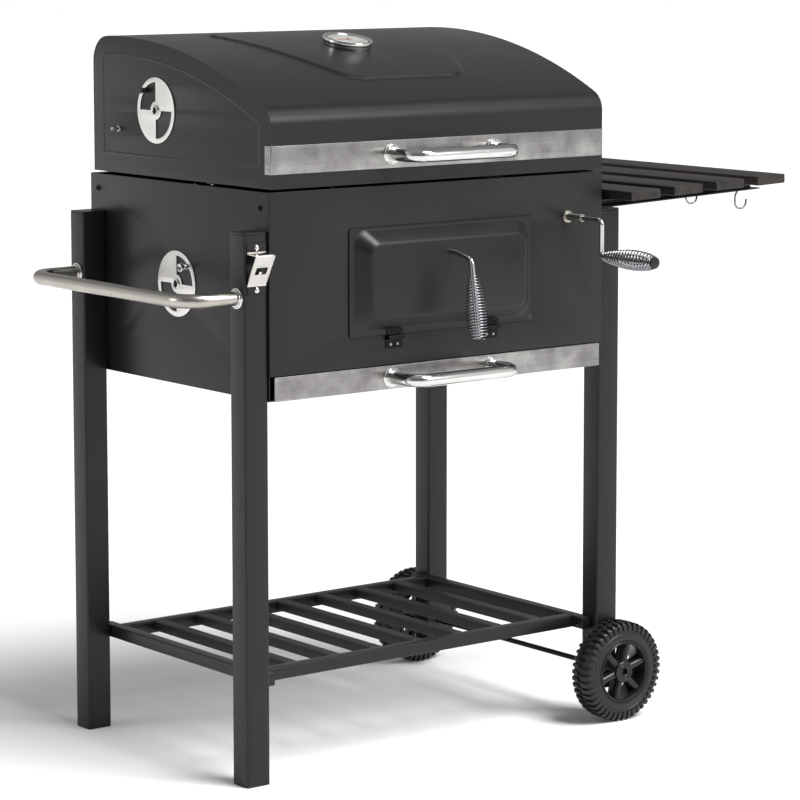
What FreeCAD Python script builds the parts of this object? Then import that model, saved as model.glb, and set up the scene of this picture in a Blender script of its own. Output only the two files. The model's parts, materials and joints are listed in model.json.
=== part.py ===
import FreeCAD, Part
import math
import os

# Charcoal grill trolley: a sheet-steel fire box with a hinged lid on four tube legs, with a fire
# door, an ash drawer, a cranked charcoal tray, a lower shelf, two wheels and a slatted side table.
# Working coordinates in millimetres: x from the fire box's left face, y from its front face
# towards the back, z up from the floor. export() moves the finished nodes to the part's origin.

V = FreeCAD.Vector
X_AXIS = V(1, 0, 0)
Y_AXIS = V(0, 1, 0)
Z_AXIS = V(0, 0, 1)

# fire box
BOX_W = 600.0
BOX_D = 449.0
BOX_BOTTOM = 535.0
BOX_TOP = 822.0
SHEET = 1.5
RIM = 11.0

# legs and shelf
LEG_X = 39.0
LEG_Y = 35.0
LEG_WALL = 1.5
LEG_FRONT = 4.0
LEG_REAR = 410.0
LEFT_LEG_TOP = 769.0
RIGHT_LEG_TOP = 766.0
RIGHT_LEG_BOTTOM = 46.0
CAP_H = 3.0
CAP_PLUG = 12.0
CAP_ROUND = 1.2
SHELF_TOP = 153.0
SHELF_BAR = 18.0
SHELF_WALL = 1.2
SHELF_END_MARGIN = 13.0
SHELF_SLATS = 7
SHELF_SLAT_W = 20.0
SHELF_SLAT_H = 14.0

# wheels
WHEEL_R = 75.0
WHEEL_W = 38.0
RIM_R = 47.0
HUB_R = 16.0
SPOKES = 6
SPOKE_R = 5.0
SPOKE_TURN = 15.0
TYRE_SHOULDER = 6.0
RIM_LIP = 6.0
RIM_STEP = 2.0
AXLE_R = 4.0
RUNNING = 0.05
WHEEL_GAP = 3.0

# drawer
DRAWER_X0 = 7.0
DRAWER_X1 = 595.5
DRAWER_TOP = 568.5
DRAWER_PLATE = 1.5
PAN_INSET = 20.0
PAN_BACK = 430.0
RAIL_REACH = 8.0
RAIL_END = 4.0
RAIL_WEB = 24.0

# fire door
DOOR_X0 = 134.5
DOOR_X1 = 465.5
DOOR_Z0 = 612.5
DOOR_Z1 = 765.0
DOOR_ROUND = 5.0
DOOR_STANDOFF = 2.0
DISH_INSET = 9.0
DISH_DEPTH = 18.0
DISH_ROUND = (24.0, 16.0)
DOORWAY_LAP = (18.0, 14.0, 10.0)
DOOR_HINGE_Y = -5.0
DOOR_HINGE_Z = 609.0
DOOR_HINGES_X = (199.0, 373.0)
DOOR_HINGE_W = 28.0
DOOR_LEAF_T = 1.4
DOOR_LEAF_H = (16.0, 12.0)
DOOR_KNUCKLE = 3.4
DOOR_PIN = 1.7
DOOR_HANDLE_Z = 724.0
DOOR_HANDLE_REACH = 66.0
DOOR_HANDLE_DROP = 8.0
DOOR_HANDLE_END = (-82.0, 606.0)
DOOR_SHAFT = (7.0, -24.0)
LATCH = (8.0, 9.0, 28.0)
LATCH_Y = (3.0, 5.0)
ROD_R = 4.0
GRIP_GAP = 0.3
GRIP_NECK = 6.0
DOOR_GRIP_BELLY = 14.5
CRANK_GRIP_BELLY = 15.0

# crank and charcoal lift
CRANK_X = 534.0
CRANK_Z = 759.0
CRANK_ARM = 52.0
CRANK_REACH = 75.0
CRANK_TIP = -190.0
CRANK_BEND = 7.0
CAP_T = 4.0
CRANK_CAP_R = 8.5
BUSH_R = 5.6
BUSH_L = 33.0
WASHER_R = 8.0
WASHER_T = 2.0
TOOTH_MODULE = 1.5
PINION_TEETH = 12
PRESSURE = math.radians(25.0)
BACKLASH = 0.35
LIFT = 50.0
PINION_Y = (11.5, 24.5)
RACK_Y = (13.0, 23.0)
RACK_BACK = 10.0
RACK_STEM = 6.0
TRAY_X0 = 30.0
TRAY_X1 = 570.0
TRAY_Y0 = 32.0
TRAY_Y1 = 428.0
TRAY_FLOOR = 600.0
TRAY_H = 50.0
TRAY_SLOTS = 14
TRAY_SLOT_W = 8.0
TRAY_SLOT_L = 140.0
TRAY_SLOT_MARGIN = 40.0
TRAY_SLOT_ROWS = (40.0, 216.0)
GUIDE_X = 18.0
GUIDE_Y = 330.0
GUIDE_R = 4.0
GUIDE_SPAN = (570.0, 760.0)
GUIDE_LUG = 12.0

# lid
LID_X0 = 2.0
LID_X1 = 598.0
LID_BOTTOM = 826.0
LID_FRONT = -2.0
LID_BACK = 441.5
LID_CREST_Y = 379.0
LID_CREST_Z = 1023.0
LID_ARC_R = 830.0
LID_KNEE_R = 30.0
LID_HEEL_R = 38.0
STRIP_Z0 = 846.0
STRIP_Z1 = 885.0
STRIP_T = 0.8
STRIP_WRAP = 14.0
LID_HINGE_Y = 456.0
LID_HINGE_Z = 830.0
LID_HINGES_X = (90.0, 470.0)
LID_HINGE_W = 40.0
LID_LEAF_T = 3.0
LID_LEAF_H = (42.0, 32.0)
LID_KNUCKLE = 5.0
LID_PIN = 2.5
THERMO_X = 285.0
THERMO_Y = 204.0
THERMO_R = 37.0
THERMO_H = 14.0
BEZEL_W = 5.0
BEZEL_H = 4.0
STEM_R = 4.5
PROBE_R = 2.5
PROBE_L = 60.0
POST_R = 1.5
NEEDLE_L = 24.0

# handles
BAR_HALF_SPAN = 92.0
BAR_REACH = 56.0
BAR_R = 9.3
BAR_BEND = 24.0
FLANGE_R = 14.5
FLANGE_T = 5.0
PUSH_R = 9.75
PUSH_REACH = 80.0
PUSH_BEND = 38.0
PUSH_Z = 679.0
TUBE_WALL = 1.2

# vents
VENT_R = 47.0
VENT_RING = 7.0
VENT_HUB = 13.0
VENT_T = 1.2
VENT_KNOB_AT = 38.0
VENT_KNOB_R = 6.5
VENT_KNOB_H = 14.0
RIVET_R = 3.0
LID_VENT_CLOSED = 90
BOX_VENT_CLOSED = 0
LID_KNOB_ANGLE = 47
BOX_KNOB_ANGLE = 137
LID_VENT = (276.5, 920.5)
LID_BOLT = (374.0, 890.0)
LID_BOLT_L = 14.0
BOX_VENT = (224.5, 678.3)

# screws, as (y, z) on the box's sides and heights on the front left leg
SCREW_R = 2.0
HEAD = (4.5, 2.4)
BOX_SCREWS = ((429.0, 800.5), (20.0, 800.0))
OPENER_SCREWS = (748.5, 690.5)
OPENER_X0 = -35.0
OPENER_X1 = -4.0
OPENER_T = 2.0
OPENER_REACH = 26.0
OPENER_Z = (755.0, 740.0, 698.0, 685.0)
OPENER_SLOT = (714.0, 723.0)
OPENER_EDGE = 6.0

# side table
TABLE_X0 = 624.0
TABLE_X1 = 937.0
TABLE_Y0 = -40.0
TABLE_Y1 = 490.0
TABLE_TILT = 2.1
TABLE_SLATS = 4
TABLE_SLAT_W = 57.0
TABLE_SLAT_T = 13.5
BRACKET_H = 12.0
BRACKET_D = 22.0
BRACKET_INSET = 5.0
BRACKET_WALL = 1.8
BRACKET_END = 931.0
RAIL_X = 903.0
RAIL_R = 3.0
RAIL_Z = 782.0
HOOK_WIRE = 1.6
HOOK_GAP = 0.35
HOOKS_Y = (34.0, 144.0)

# cooking grates
GRATE_Z = 798.0
GRATE_ROD = 3.0
GRATE_Y0 = 27.0
GRATE_Y1 = 432.0
GRATE_BARS = 13
GRATE_X0 = 6.0
GRATE_HALF_GAP = 2.0
LEDGE_END = 10.0
LEDGE_CRANK = 40.0
LEDGE_REACH = 32.0
LEDGE_REAR = 22.0
LEDGE_H = 16.0

# worked out from the sizes above
PUSH_X = -LEG_X - PUSH_REACH
TILT = math.radians(TABLE_TILT)
TABLE_END = BOX_W + (TABLE_X1 - BOX_W) * math.cos(TILT) - BRACKET_H * math.sin(TILT)
CENTRE_X = (TABLE_END + PUSH_X - PUSH_R) / 2
CENTRE_Y = (CRANK_TIP + TABLE_Y1) / 2
RIGHT_LEG_X = BOX_W
AXLE_X = BOX_W + LEG_X / 2
ARC_CENTRE_Z = LID_CREST_Z - LID_ARC_R

NODES = {}


def block(x0, x1, y0, y1, z0, z1):
    return Part.makeBox(x1 - x0, y1 - y0, z1 - z0, V(x0, y0, z0))


def rod(start, end, radius):
    run = V(*end) - V(*start)
    return Part.makeCylinder(radius, run.Length, V(*start), run)


def fused(shapes):
    whole = shapes[0]
    for piece in shapes[1:]:
        whole = whole.fuse(piece)
    return whole.removeSplitter()


def rounded_wire(points, bends):
    """A path of straight runs joined by tangent arcs, one bend radius for each inner point."""
    corners = [V(*p) for p in points]
    edges = []
    last = corners[0]
    for i, bend in enumerate(bends, start=1):
        back = (corners[i - 1] - corners[i]).normalize()
        on = (corners[i + 1] - corners[i]).normalize()
        half = back.getAngle(on) / 2
        trim = bend / math.tan(half)
        enter = corners[i] + back * trim
        leave = corners[i] + on * trim
        middle = (back + on).normalize()
        crown = corners[i] + middle * (bend / math.sin(half) - bend)
        edges.append(Part.LineSegment(last, enter).toShape())
        edges.append(Part.Arc(enter, crown, leave).toShape())
        last = leave
    edges.append(Part.LineSegment(last, corners[-1]).toShape())
    return Part.Wire(edges)


def swept(points, bends, radius):
    path = rounded_wire(points, bends)
    run = V(*points[1]) - V(*points[0])
    ring = Part.Wire(Part.makeCircle(radius, V(*points[0]), run))
    return path.makePipeShell([ring], True, True)


def swept_tube(points, bends, outer, wall):
    return swept(points, bends, outer).cut(swept(points, bends, outer - wall))


def turned(profile, base, axis):
    """A solid of revolution from a closed list of 3-D points in a plane through the axis."""
    corners = [V(*p) for p in profile]
    face = Part.Face(Part.makePolygon(corners + [corners[0]]))
    return face.revolve(V(*base), axis, 360)


def square_tube(x0, x1, y0, y1, z0, z1, wall, along):
    cut = {"x": (0, wall, wall), "y": (wall, 0, wall), "z": (wall, wall, 0)}[along]
    inner = block(x0 + cut[0], x1 - cut[0], y0 + cut[1], y1 - cut[1], z0 + cut[2], z1 - cut[2])
    return block(x0, x1, y0, y1, z0, z1).cut(inner)


def round_rect(x0, x1, z0, z1, y, r):
    """A rectangle with round corners, standing across y."""
    turn = r * (1 - math.sqrt(0.5))
    edges = [
        Part.LineSegment(V(x0 + r, y, z0), V(x1 - r, y, z0)),
        Part.Arc(V(x1 - r, y, z0), V(x1 - turn, y, z0 + turn), V(x1, y, z0 + r)),
        Part.LineSegment(V(x1, y, z0 + r), V(x1, y, z1 - r)),
        Part.Arc(V(x1, y, z1 - r), V(x1 - turn, y, z1 - turn), V(x1 - r, y, z1)),
        Part.LineSegment(V(x1 - r, y, z1), V(x0 + r, y, z1)),
        Part.Arc(V(x0 + r, y, z1), V(x0 + turn, y, z1 - turn), V(x0, y, z1 - r)),
        Part.LineSegment(V(x0, y, z1 - r), V(x0, y, z0 + r)),
        Part.Arc(V(x0, y, z0 + r), V(x0 + turn, y, z0 + turn), V(x0 + r, y, z0)),
    ]
    return Part.Wire([e.toShape() for e in edges])


def quarter(x0, x1, centre, r0, r1, start, end):
    """A ring sector through a wall across x; angles in degrees from +y towards +z."""
    def at(r, degrees):
        a = math.radians(degrees)
        return V(x0, centre[0] + r * math.cos(a), centre[1] + r * math.sin(a))

    middle = (start + end) / 2
    edges = [
        Part.LineSegment(at(r0, start), at(r1, start)),
        Part.Arc(at(r1, start), at(r1, middle), at(r1, end)),
        Part.LineSegment(at(r1, end), at(r0, end)),
        Part.Arc(at(r0, end), at(r0, middle), at(r0, start)),
    ]
    return Part.Face(Part.Wire([e.toShape() for e in edges])).extrude(V(x1 - x0, 0, 0))


# ---------------------------------------------------------------- legs, feet and shelf

def legs():
    places = {
        "leg_front_left": (-LEG_X, LEG_FRONT, CAP_H, LEFT_LEG_TOP - CAP_H),
        "leg_rear_left": (-LEG_X, LEG_REAR, CAP_H, LEFT_LEG_TOP - CAP_H),
        "leg_front_right": (RIGHT_LEG_X, LEG_FRONT, RIGHT_LEG_BOTTOM, RIGHT_LEG_TOP - CAP_H),
        "leg_rear_right": (RIGHT_LEG_X, LEG_REAR, RIGHT_LEG_BOTTOM, RIGHT_LEG_TOP - CAP_H),
    }
    axle_way = rod((AXLE_X, -LEG_Y, WHEEL_R), (AXLE_X, BOX_D + LEG_Y, WHEEL_R), AXLE_R + RUNNING)
    caps = []
    for name, (x, y, bottom, top) in places.items():
        tube = square_tube(x, x + LEG_X, y, y + LEG_Y, bottom, top, LEG_WALL, "z")
        NODES[name] = tube.cut(axle_way) if x > 0 else tube
        if name == "leg_front_left":
            for height in OPENER_SCREWS:
                NODES[name] = NODES[name].cut(opener_hole(height))
        caps.append(leg_cap(x, y, top, 1))
        caps.append(leg_cap(x, y, bottom, -1))
    NODES["leg_caps"] = Part.makeCompound(caps)


def opener_hole(height):
    """The hole for one of the bottle opener's screws, in the leg and in the opener."""
    middle = (OPENER_X0 + OPENER_X1) / 2
    start = (middle, LEG_FRONT - OPENER_T - 1, height)
    return rod(start, (middle, LEG_FRONT + LEG_WALL + 1, height), SCREW_R)


def leg_cap(x, y, z, way):
    """A moulded end cap: a plate over the tube's end and a plug inside it."""
    low = min(z, z + way * CAP_H)
    plug = min(z, z - way * CAP_PLUG)
    slack = LEG_WALL + 0.2
    plate = block(x, x + LEG_X, y, y + LEG_Y, low, low + CAP_H)
    end = z + way * CAP_H
    rounded = plate.makeFillet(CAP_ROUND, [e for e in plate.Edges if abs(e.CenterOfMass.z - end) < 0.1])
    stub = block(x + slack, x + LEG_X - slack, y + slack, y + LEG_Y - slack, plug, plug + CAP_PLUG)
    return rounded.fuse(stub)


def shelf():
    low = SHELF_TOP - SHELF_BAR
    front = LEG_FRONT + LEG_Y
    back = LEG_REAR
    y0 = LEG_FRONT + SHELF_END_MARGIN
    y1 = LEG_REAR + LEG_Y - SHELF_END_MARGIN
    inner = (SHELF_BAR, BOX_W - SHELF_BAR)
    NODES["shelf_frame"] = Part.makeCompound([
        square_tube(0, SHELF_BAR, y0, y1, low, SHELF_TOP, SHELF_WALL, "y"),
        square_tube(inner[1], BOX_W, y0, y1, low, SHELF_TOP, SHELF_WALL, "y"),
        square_tube(*inner, front, front + SHELF_BAR, low, SHELF_TOP, SHELF_WALL, "x"),
        square_tube(*inner, back - SHELF_BAR, back, low, SHELF_TOP, SHELF_WALL, "x"),
    ])
    slats = []
    for i in range(SHELF_SLATS):
        x = BOX_W * (i + 1) / (SHELF_SLATS + 1) - SHELF_SLAT_W / 2
        slats.append(square_tube(x, x + SHELF_SLAT_W, front + SHELF_BAR, back - SHELF_BAR,
                                 SHELF_TOP - SHELF_SLAT_H, SHELF_TOP, SHELF_WALL, "y"))
    NODES["shelf_slats"] = Part.makeCompound(slats)


# ---------------------------------------------------------------- wheels

def wheels():
    outer_front = LEG_FRONT - WHEEL_GAP - WHEEL_W
    outer_rear = LEG_REAR + LEG_Y + WHEEL_GAP + WHEEL_W
    wheel("front", outer_front, 1)
    wheel("rear", outer_rear, -1)
    reach = RIM_LIP - RIM_STEP
    ends = (outer_front + reach, outer_rear - reach)
    NODES["wheel_axle"] = rod((AXLE_X, ends[0], WHEEL_R), (AXLE_X, ends[1], WHEEL_R), AXLE_R)


def wheel(side, face, way):
    """One wheel; face is the y of its outer side and way points from there to the leg."""
    def disc(radius, y0, y1):
        return rod((AXLE_X, face + way * y0, WHEEL_R), (AXLE_X, face + way * y1, WHEEL_R), radius)

    shoulder = TYRE_SHOULDER
    radii = ((RIM_R, 0), (WHEEL_R - shoulder, 0), (WHEEL_R, shoulder),
             (WHEEL_R, WHEEL_W - shoulder), (WHEEL_R - shoulder, WHEEL_W), (RIM_R, WHEEL_W))
    profile = [(AXLE_X + r, face + way * y, WHEEL_R) for r, y in radii]
    NODES["tyre_" + side] = turned(profile, (AXLE_X, 0, WHEEL_R), Y_AXIS)
    hole = disc(RIM_R - RIM_LIP, 0, WHEEL_W)
    rim = disc(RIM_R - 0.15, RIM_STEP, WHEEL_W - RIM_STEP).cut(hole)
    boss = disc(HUB_R, 0, WHEEL_W)
    hub = [rim, boss.cut(disc(AXLE_R + RUNNING, -1, WHEEL_W + 1)).cut(disc(AXLE_R + 1.5, -1, RIM_LIP))]
    middle = V(AXLE_X, face + way * WHEEL_W / 2, WHEEL_R)
    for i in range(SPOKES):
        a = math.radians(SPOKE_TURN) + 2 * math.pi * i / SPOKES
        spoke = Part.makeCylinder(SPOKE_R, RIM_R, middle, V(math.cos(a), 0, math.sin(a)))
        hub.append(spoke.cut(boss).common(hole))
    NODES["hub_" + side] = Part.makeCompound(hub)


# ---------------------------------------------------------------- fire box

def vent_holes(x0, x1, centre, first):
    """The two air holes of a vent, a little smaller than the disc's blank quarters."""
    return [quarter(x0, x1, centre, VENT_HUB + 3, VENT_R - VENT_RING - 3, a + 6, a + 84)
            for a in (first, first + 180)]


def vent(name, wall_x, out, centre, first, knob_angle):
    """A turning vent disc on a side wall; out is -1 for the left wall and 1 for the right."""
    gap = 0.3
    near = wall_x + out * gap
    far = near + out * VENT_T
    x0, x1 = min(near, far), max(near, far)
    disc = rod((x0, *centre), (x1, *centre), VENT_R)
    for a in (first + 90, first + 270):
        disc = disc.cut(quarter(x0 - 1, x1 + 1, centre, VENT_HUB, VENT_R - VENT_RING, a, a + 90))
    disc = disc.cut(rod((x0 - 1, *centre), (x1 + 1, *centre), RIVET_R + RUNNING))
    a = math.radians(knob_angle)
    spot = (centre[0] + VENT_KNOB_AT * math.cos(a), centre[1] + VENT_KNOB_AT * math.sin(a))
    knob = rod((far, *spot), (far + out * VENT_KNOB_H, *spot), VENT_KNOB_R)
    NODES[name] = disc.fuse(knob)
    return vent_rivet(wall_x, out, centre)


def vent_rivet(wall_x, out, centre):
    """The rivet a vent disc turns on, through the wall with a head outside."""
    shank = rod((wall_x - out * SHEET, *centre), (wall_x + out * 2, *centre), RIVET_R)
    head = rod((wall_x + out * 1.8, *centre), (wall_x + out * 4, *centre), RIVET_R + 2.5)
    return shank.fuse(head)


def fire_box():
    front = block(0, BOX_W, 0, SHEET, DRAWER_TOP + 1, BOX_TOP)
    side, sill, head = DOORWAY_LAP
    front = front.cut(block(DOOR_X0 + side, DOOR_X1 - side, -1, SHEET + 1, DOOR_Z0 + sill, DOOR_Z1 - head))
    front = front.cut(rod((CRANK_X, -1, CRANK_Z), (CRANK_X, SHEET + 1, CRANK_Z), ROD_R + 0.1))
    front_rim = block(SHEET, BOX_W - SHEET, SHEET, RIM, BOX_TOP - SHEET, BOX_TOP)
    NODES["firebox_front"] = front.fuse(front_rim).removeSplitter()
    rear = block(0, BOX_W, BOX_D - SHEET, BOX_D, BOX_BOTTOM, BOX_TOP)
    rear_rim = block(SHEET, BOX_W - SHEET, BOX_D - RIM, BOX_D - SHEET, BOX_TOP - SHEET, BOX_TOP)
    NODES["firebox_rear"] = rear.fuse(rear_rim).removeSplitter()
    for name, x in (("firebox_left", 0), ("firebox_right", BOX_W - SHEET)):
        side = block(x, x + SHEET, SHEET, BOX_D - SHEET, BOX_BOTTOM, BOX_TOP)
        for hole in vent_holes(x - 1, x + SHEET + 1, BOX_VENT, BOX_VENT_CLOSED):
            side = side.cut(hole)
        for spot, radius in ((BOX_VENT, RIVET_R),) + tuple((spot, SCREW_R) for spot in BOX_SCREWS):
            side = side.cut(rod((x - 1, *spot), (x + SHEET + 1, *spot), radius))
        NODES[name] = side


def drawer_rails():
    rails = []
    reach = PAN_INSET + RAIL_REACH
    back = BOX_D - RAIL_END
    for x0, x1 in ((SHEET, reach), (BOX_W - reach, BOX_W - SHEET)):
        wall = x0 if x0 < BOX_W / 2 else x1 - SHEET
        foot = block(x0, x1, RAIL_END, back, BOX_BOTTOM, BOX_BOTTOM + SHEET)
        web = block(wall, wall + SHEET, RAIL_END, back, BOX_BOTTOM, BOX_BOTTOM + RAIL_WEB)
        rails.append(foot.fuse(web).removeSplitter())
    NODES["drawer_rails"] = Part.makeCompound(rails)


def grate_ledges():
    """Angles along the front and back that carry the grates; the front one stops short of the crank."""
    top = GRATE_Z - GRATE_ROD - 0.2
    low = top - LEDGE_H
    front = block(LEDGE_END, CRANK_X - LEDGE_CRANK, SHEET, LEDGE_REACH, top - SHEET, top)
    front_web = block(LEDGE_END, CRANK_X - LEDGE_CRANK, SHEET, 2 * SHEET, low, top)
    rear = block(LEDGE_END, BOX_W - LEDGE_END, BOX_D - LEDGE_REAR, BOX_D - SHEET, top - SHEET, top)
    rear_web = block(LEDGE_END, BOX_W - LEDGE_END, BOX_D - 2 * SHEET, BOX_D - SHEET, low, top)
    NODES["grate_ledges"] = Part.makeCompound([
        front.fuse(front_web).removeSplitter(), rear.fuse(rear_web).removeSplitter()])


def cooking_grates():
    middle = BOX_W / 2
    for name, x0 in (("cooking_grate_left", GRATE_X0), ("cooking_grate_right", middle + GRATE_HALF_GAP)):
        x1 = x0 + middle - GRATE_X0 - GRATE_HALF_GAP
        r = GRATE_ROD
        frame = [
            rod((x0 + r, GRATE_Y0, GRATE_Z), (x1 - r, GRATE_Y0, GRATE_Z), r),
            rod((x0 + r, GRATE_Y1, GRATE_Z), (x1 - r, GRATE_Y1, GRATE_Z), r),
        ]
        pitch = (x1 - x0 - 2 * r) / (GRATE_BARS - 1)
        for i in range(GRATE_BARS):
            x = x0 + r + i * pitch
            thick = r if i in (0, GRATE_BARS - 1) else r - 0.5
            frame.append(rod((x, GRATE_Y0, GRATE_Z), (x, GRATE_Y1, GRATE_Z), thick))
        NODES[name] = fused(frame)


# ---------------------------------------------------------------- drawer

def drawer():
    z0 = BOX_BOTTOM + SHEET + 0.3
    z1 = DRAWER_TOP - 2
    outer = block(PAN_INSET, BOX_W - PAN_INSET, 0, PAN_BACK, z0, z1)
    inner = PAN_INSET + SHEET
    hollow = block(inner, BOX_W - inner, SHEET, PAN_BACK - SHEET, z0 + SHEET, z1 + 1)
    NODES["drawer_pan"] = outer.cut(hollow)
    plate = block(DRAWER_X0, DRAWER_X1, -DRAWER_PLATE, 0, BOX_BOTTOM, DRAWER_TOP)
    NODES["drawer_front"] = plate
    handle, flanges = bar_handle(-DRAWER_PLATE, (BOX_BOTTOM + DRAWER_TOP) / 2)
    NODES["drawer_handle"] = handle
    NODES["drawer_handle_flanges"] = flanges


def bar_handle(face, z):
    """A bent tube handle on a front face at y = face, and its two round flanges."""
    x0 = BOX_W / 2 - BAR_HALF_SPAN
    x1 = BOX_W / 2 + BAR_HALF_SPAN
    out = face - BAR_REACH
    route = [(x0, face, z), (x0, out, z), (x1, out, z), (x1, face, z)]
    handle = swept_tube(route, [BAR_BEND, BAR_BEND], BAR_R, TUBE_WALL)
    return handle, Part.makeCompound([collar((x, face, z), V(0, -1, 0), BAR_R) for x in (x0, x1)])


def collar(foot, way, bore):
    """A stepped round flange that seats a handle tube on a wall."""
    foot = V(*foot)
    base = Part.makeCylinder(FLANGE_R, FLANGE_T * 0.5, foot, way)
    neck = Part.makeCylinder(FLANGE_R - 2, FLANGE_T * 0.5, foot + way * (FLANGE_T * 0.5), way)
    hole = Part.makeCylinder(bore + 0.1, FLANGE_T + 2, foot - way, way)
    return base.fuse(neck).removeSplitter().cut(hole)


# ---------------------------------------------------------------- fire door

def hinge(x0, width, y, z, knuckle, pin, fixed_plates, moving_plates):
    """Three-knuckle hinge with its axis along x; returns fixed leaf, moving leaf and pin."""
    side = width * 0.25
    gap = 0.25
    x1 = x0 + width

    def barrel(a, b):
        return rod((a, y, z), (b, y, z), knuckle)

    def room(a, b):
        reach = knuckle + gap
        return block(a, b, y - reach, y + reach, z - reach, z + reach)

    bore = rod((x0 - 1, y, z), (x1 + 1, y, z), pin + RUNNING)
    fixed = fused([barrel(x0, x0 + side), barrel(x1 - side, x1)] + fixed_plates)
    moving = fused([barrel(x0 + side + gap, x1 - side - gap)] + moving_plates)
    for a, b in ((x0 - 1, x0 + side + gap), (x1 - side - gap, x1 + 1)):
        moving = moving.cut(room(a, b))
    fixed = fixed.cut(room(x0 + side, x1 - side))
    return fixed.cut(bore), moving.cut(bore), rod((x0 - 1, y, z), (x1 + 1, y, z), pin)


def door_hinges():
    fixed, moving, pins = [], [], []
    y, z, w = DOOR_HINGE_Y, DOOR_HINGE_Z, DOOR_HINGE_W
    leaf = DOOR_LEAF_T
    for x0 in DOOR_HINGES_X:
        box_leaf = [block(x0, x0 + w, -leaf, 0, z - DOOR_LEAF_H[0], z),
                    block(x0, x0 + w, y, 0, z - DOOR_KNUCKLE + 0.2, z - 0.5)]
        door_leaf = [block(x0, x0 + w, -DOOR_STANDOFF - leaf, -DOOR_STANDOFF, z, z + DOOR_LEAF_H[1])]
        a, b, c = hinge(x0, w, y, z, DOOR_KNUCKLE, DOOR_PIN, box_leaf, door_leaf)
        fixed.append(a)
        moving.append(b)
        pins.append(c)
    NODES["door_hinge_leaves"] = Part.makeCompound(moving)
    return fixed, pins


def door_outline(inset, y, radius):
    """The door's outline drawn in by an inset; its top edge comes in less than its sides."""
    top = inset - DISH_INSET / 2 if inset else 0
    return round_rect(DOOR_X0 + inset, DOOR_X1 - inset, DOOR_Z0 + inset, DOOR_Z1 - top, y, radius)


def door():
    """A pressed sheet: a flat flange and a dish with sloping walls, hollow behind."""
    back = -DOOR_STANDOFF
    plate = Part.Face(door_outline(0, back, DOOR_ROUND)).extrude(V(0, SHEET, 0))

    def dish(extra, face):
        base = door_outline(DISH_INSET + extra, back, DISH_ROUND[0] - extra)
        front = door_outline(DISH_INSET + DISH_DEPTH + extra, face, DISH_ROUND[1])
        return Part.makeLoft([base, front], True, True)

    shell = dish(0, back - DISH_DEPTH).fuse(plate)
    hollow = dish(SHEET, back - DISH_DEPTH + SHEET)
    throat = Part.Face(door_outline(DISH_INSET + SHEET, back, DISH_ROUND[0] - SHEET)).extrude(V(0, SHEET, 0))
    shell = shell.cut(hollow).cut(throat)
    x = BOX_W / 2
    way = rod((x, back - DISH_DEPTH - 1, DOOR_HANDLE_Z), (x, 0, DOOR_HANDLE_Z), ROD_R + RUNNING)
    NODES["door_panel"] = shell.removeSplitter().cut(way)


def grip(start, end, belly, rod_radius):
    """The outer shape of a sprung wire grip, closed, with room for its rod."""
    a, b = V(*start), V(*end)
    run = b - a
    way = run.normalize()
    length = (b - a).Length
    side = way.cross(X_AXIS).normalize() if abs(way.x) < 0.5 else way.cross(Y_AXIS).normalize()
    inner = rod_radius + GRIP_GAP
    steps = ((0, inner), (0, GRIP_NECK), (0.3, belly * 0.86), (0.62, belly), (0.85, belly * 0.9),
             (1, belly * 0.62), (1, inner))
    profile = [tuple(a + way * (length * t) + side * r) for t, r in steps]
    return turned(profile, start, way)


def door_handle():
    """A bent rod that turns in the door, its wire grip, and the latch tongue behind the door."""
    x = BOX_W / 2
    z = DOOR_HANDLE_Z
    inside, outside = DOOR_SHAFT
    knee = (x, outside - 8, z)
    bend = (x, -DOOR_HANDLE_REACH, z - DOOR_HANDLE_DROP)
    end = (x, *DOOR_HANDLE_END)
    thin = ROD_R - 0.5
    shaft = rod((x, inside, z), (x, outside, z), ROD_R)
    bent = swept([(x, inside, z), knee, bend, end], [12.0, 9.0], thin)
    NODES["door_handle"] = bent.fuse(shaft).removeSplitter()
    start = V(*bend) + (V(*end) - V(*bend)) * 0.2
    NODES["door_grip"] = grip(tuple(start), end, DOOR_GRIP_BELLY, thin)
    half, below, above = LATCH
    y0, y1 = LATCH_Y
    tongue = block(x - half, x + half, y0, y1, z - below, z + above)
    NODES["door_latch"] = tongue.cut(rod((x, y0 - 1, z), (x, y1 + 1, z), ROD_R))


# ---------------------------------------------------------------- crank and charcoal lift

def involute_teeth(y0, y1):
    """A spur pinion with involute flanks, thinned by the backlash, with one tooth along -x."""
    pitch_r = TOOTH_MODULE * PINION_TEETH / 2
    base_r = pitch_r * math.cos(PRESSURE)
    tip_r = pitch_r + TOOTH_MODULE * 0.95
    root_r = pitch_r - TOOTH_MODULE * 1.3
    half = (math.pi * TOOTH_MODULE / 2 - BACKLASH) / 2 / pitch_r

    def roll(r):
        cosine = min(1.0, base_r / r)
        return math.tan(math.acos(cosine)) - math.acos(cosine)

    def at(r, angle):
        return V(CRANK_X - r * math.cos(angle), y0, CRANK_Z + r * math.sin(angle))

    flank = [base_r + (tip_r - base_r) * i / 4 for i in range(5)]
    points = []
    for tooth in range(PINION_TEETH):
        centre = 2 * math.pi * tooth / PINION_TEETH
        open_by = half + roll(pitch_r)
        points.append(at(root_r, centre - open_by))
        points += [at(r, centre - open_by + roll(r)) for r in flank]
        points += [at(r, centre + open_by - roll(r)) for r in reversed(flank)]
        points.append(at(root_r, centre + open_by))
    face = Part.Face(Part.makePolygon(points + [points[0]]))
    return face.extrude(V(0, y1 - y0, 0))


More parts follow.
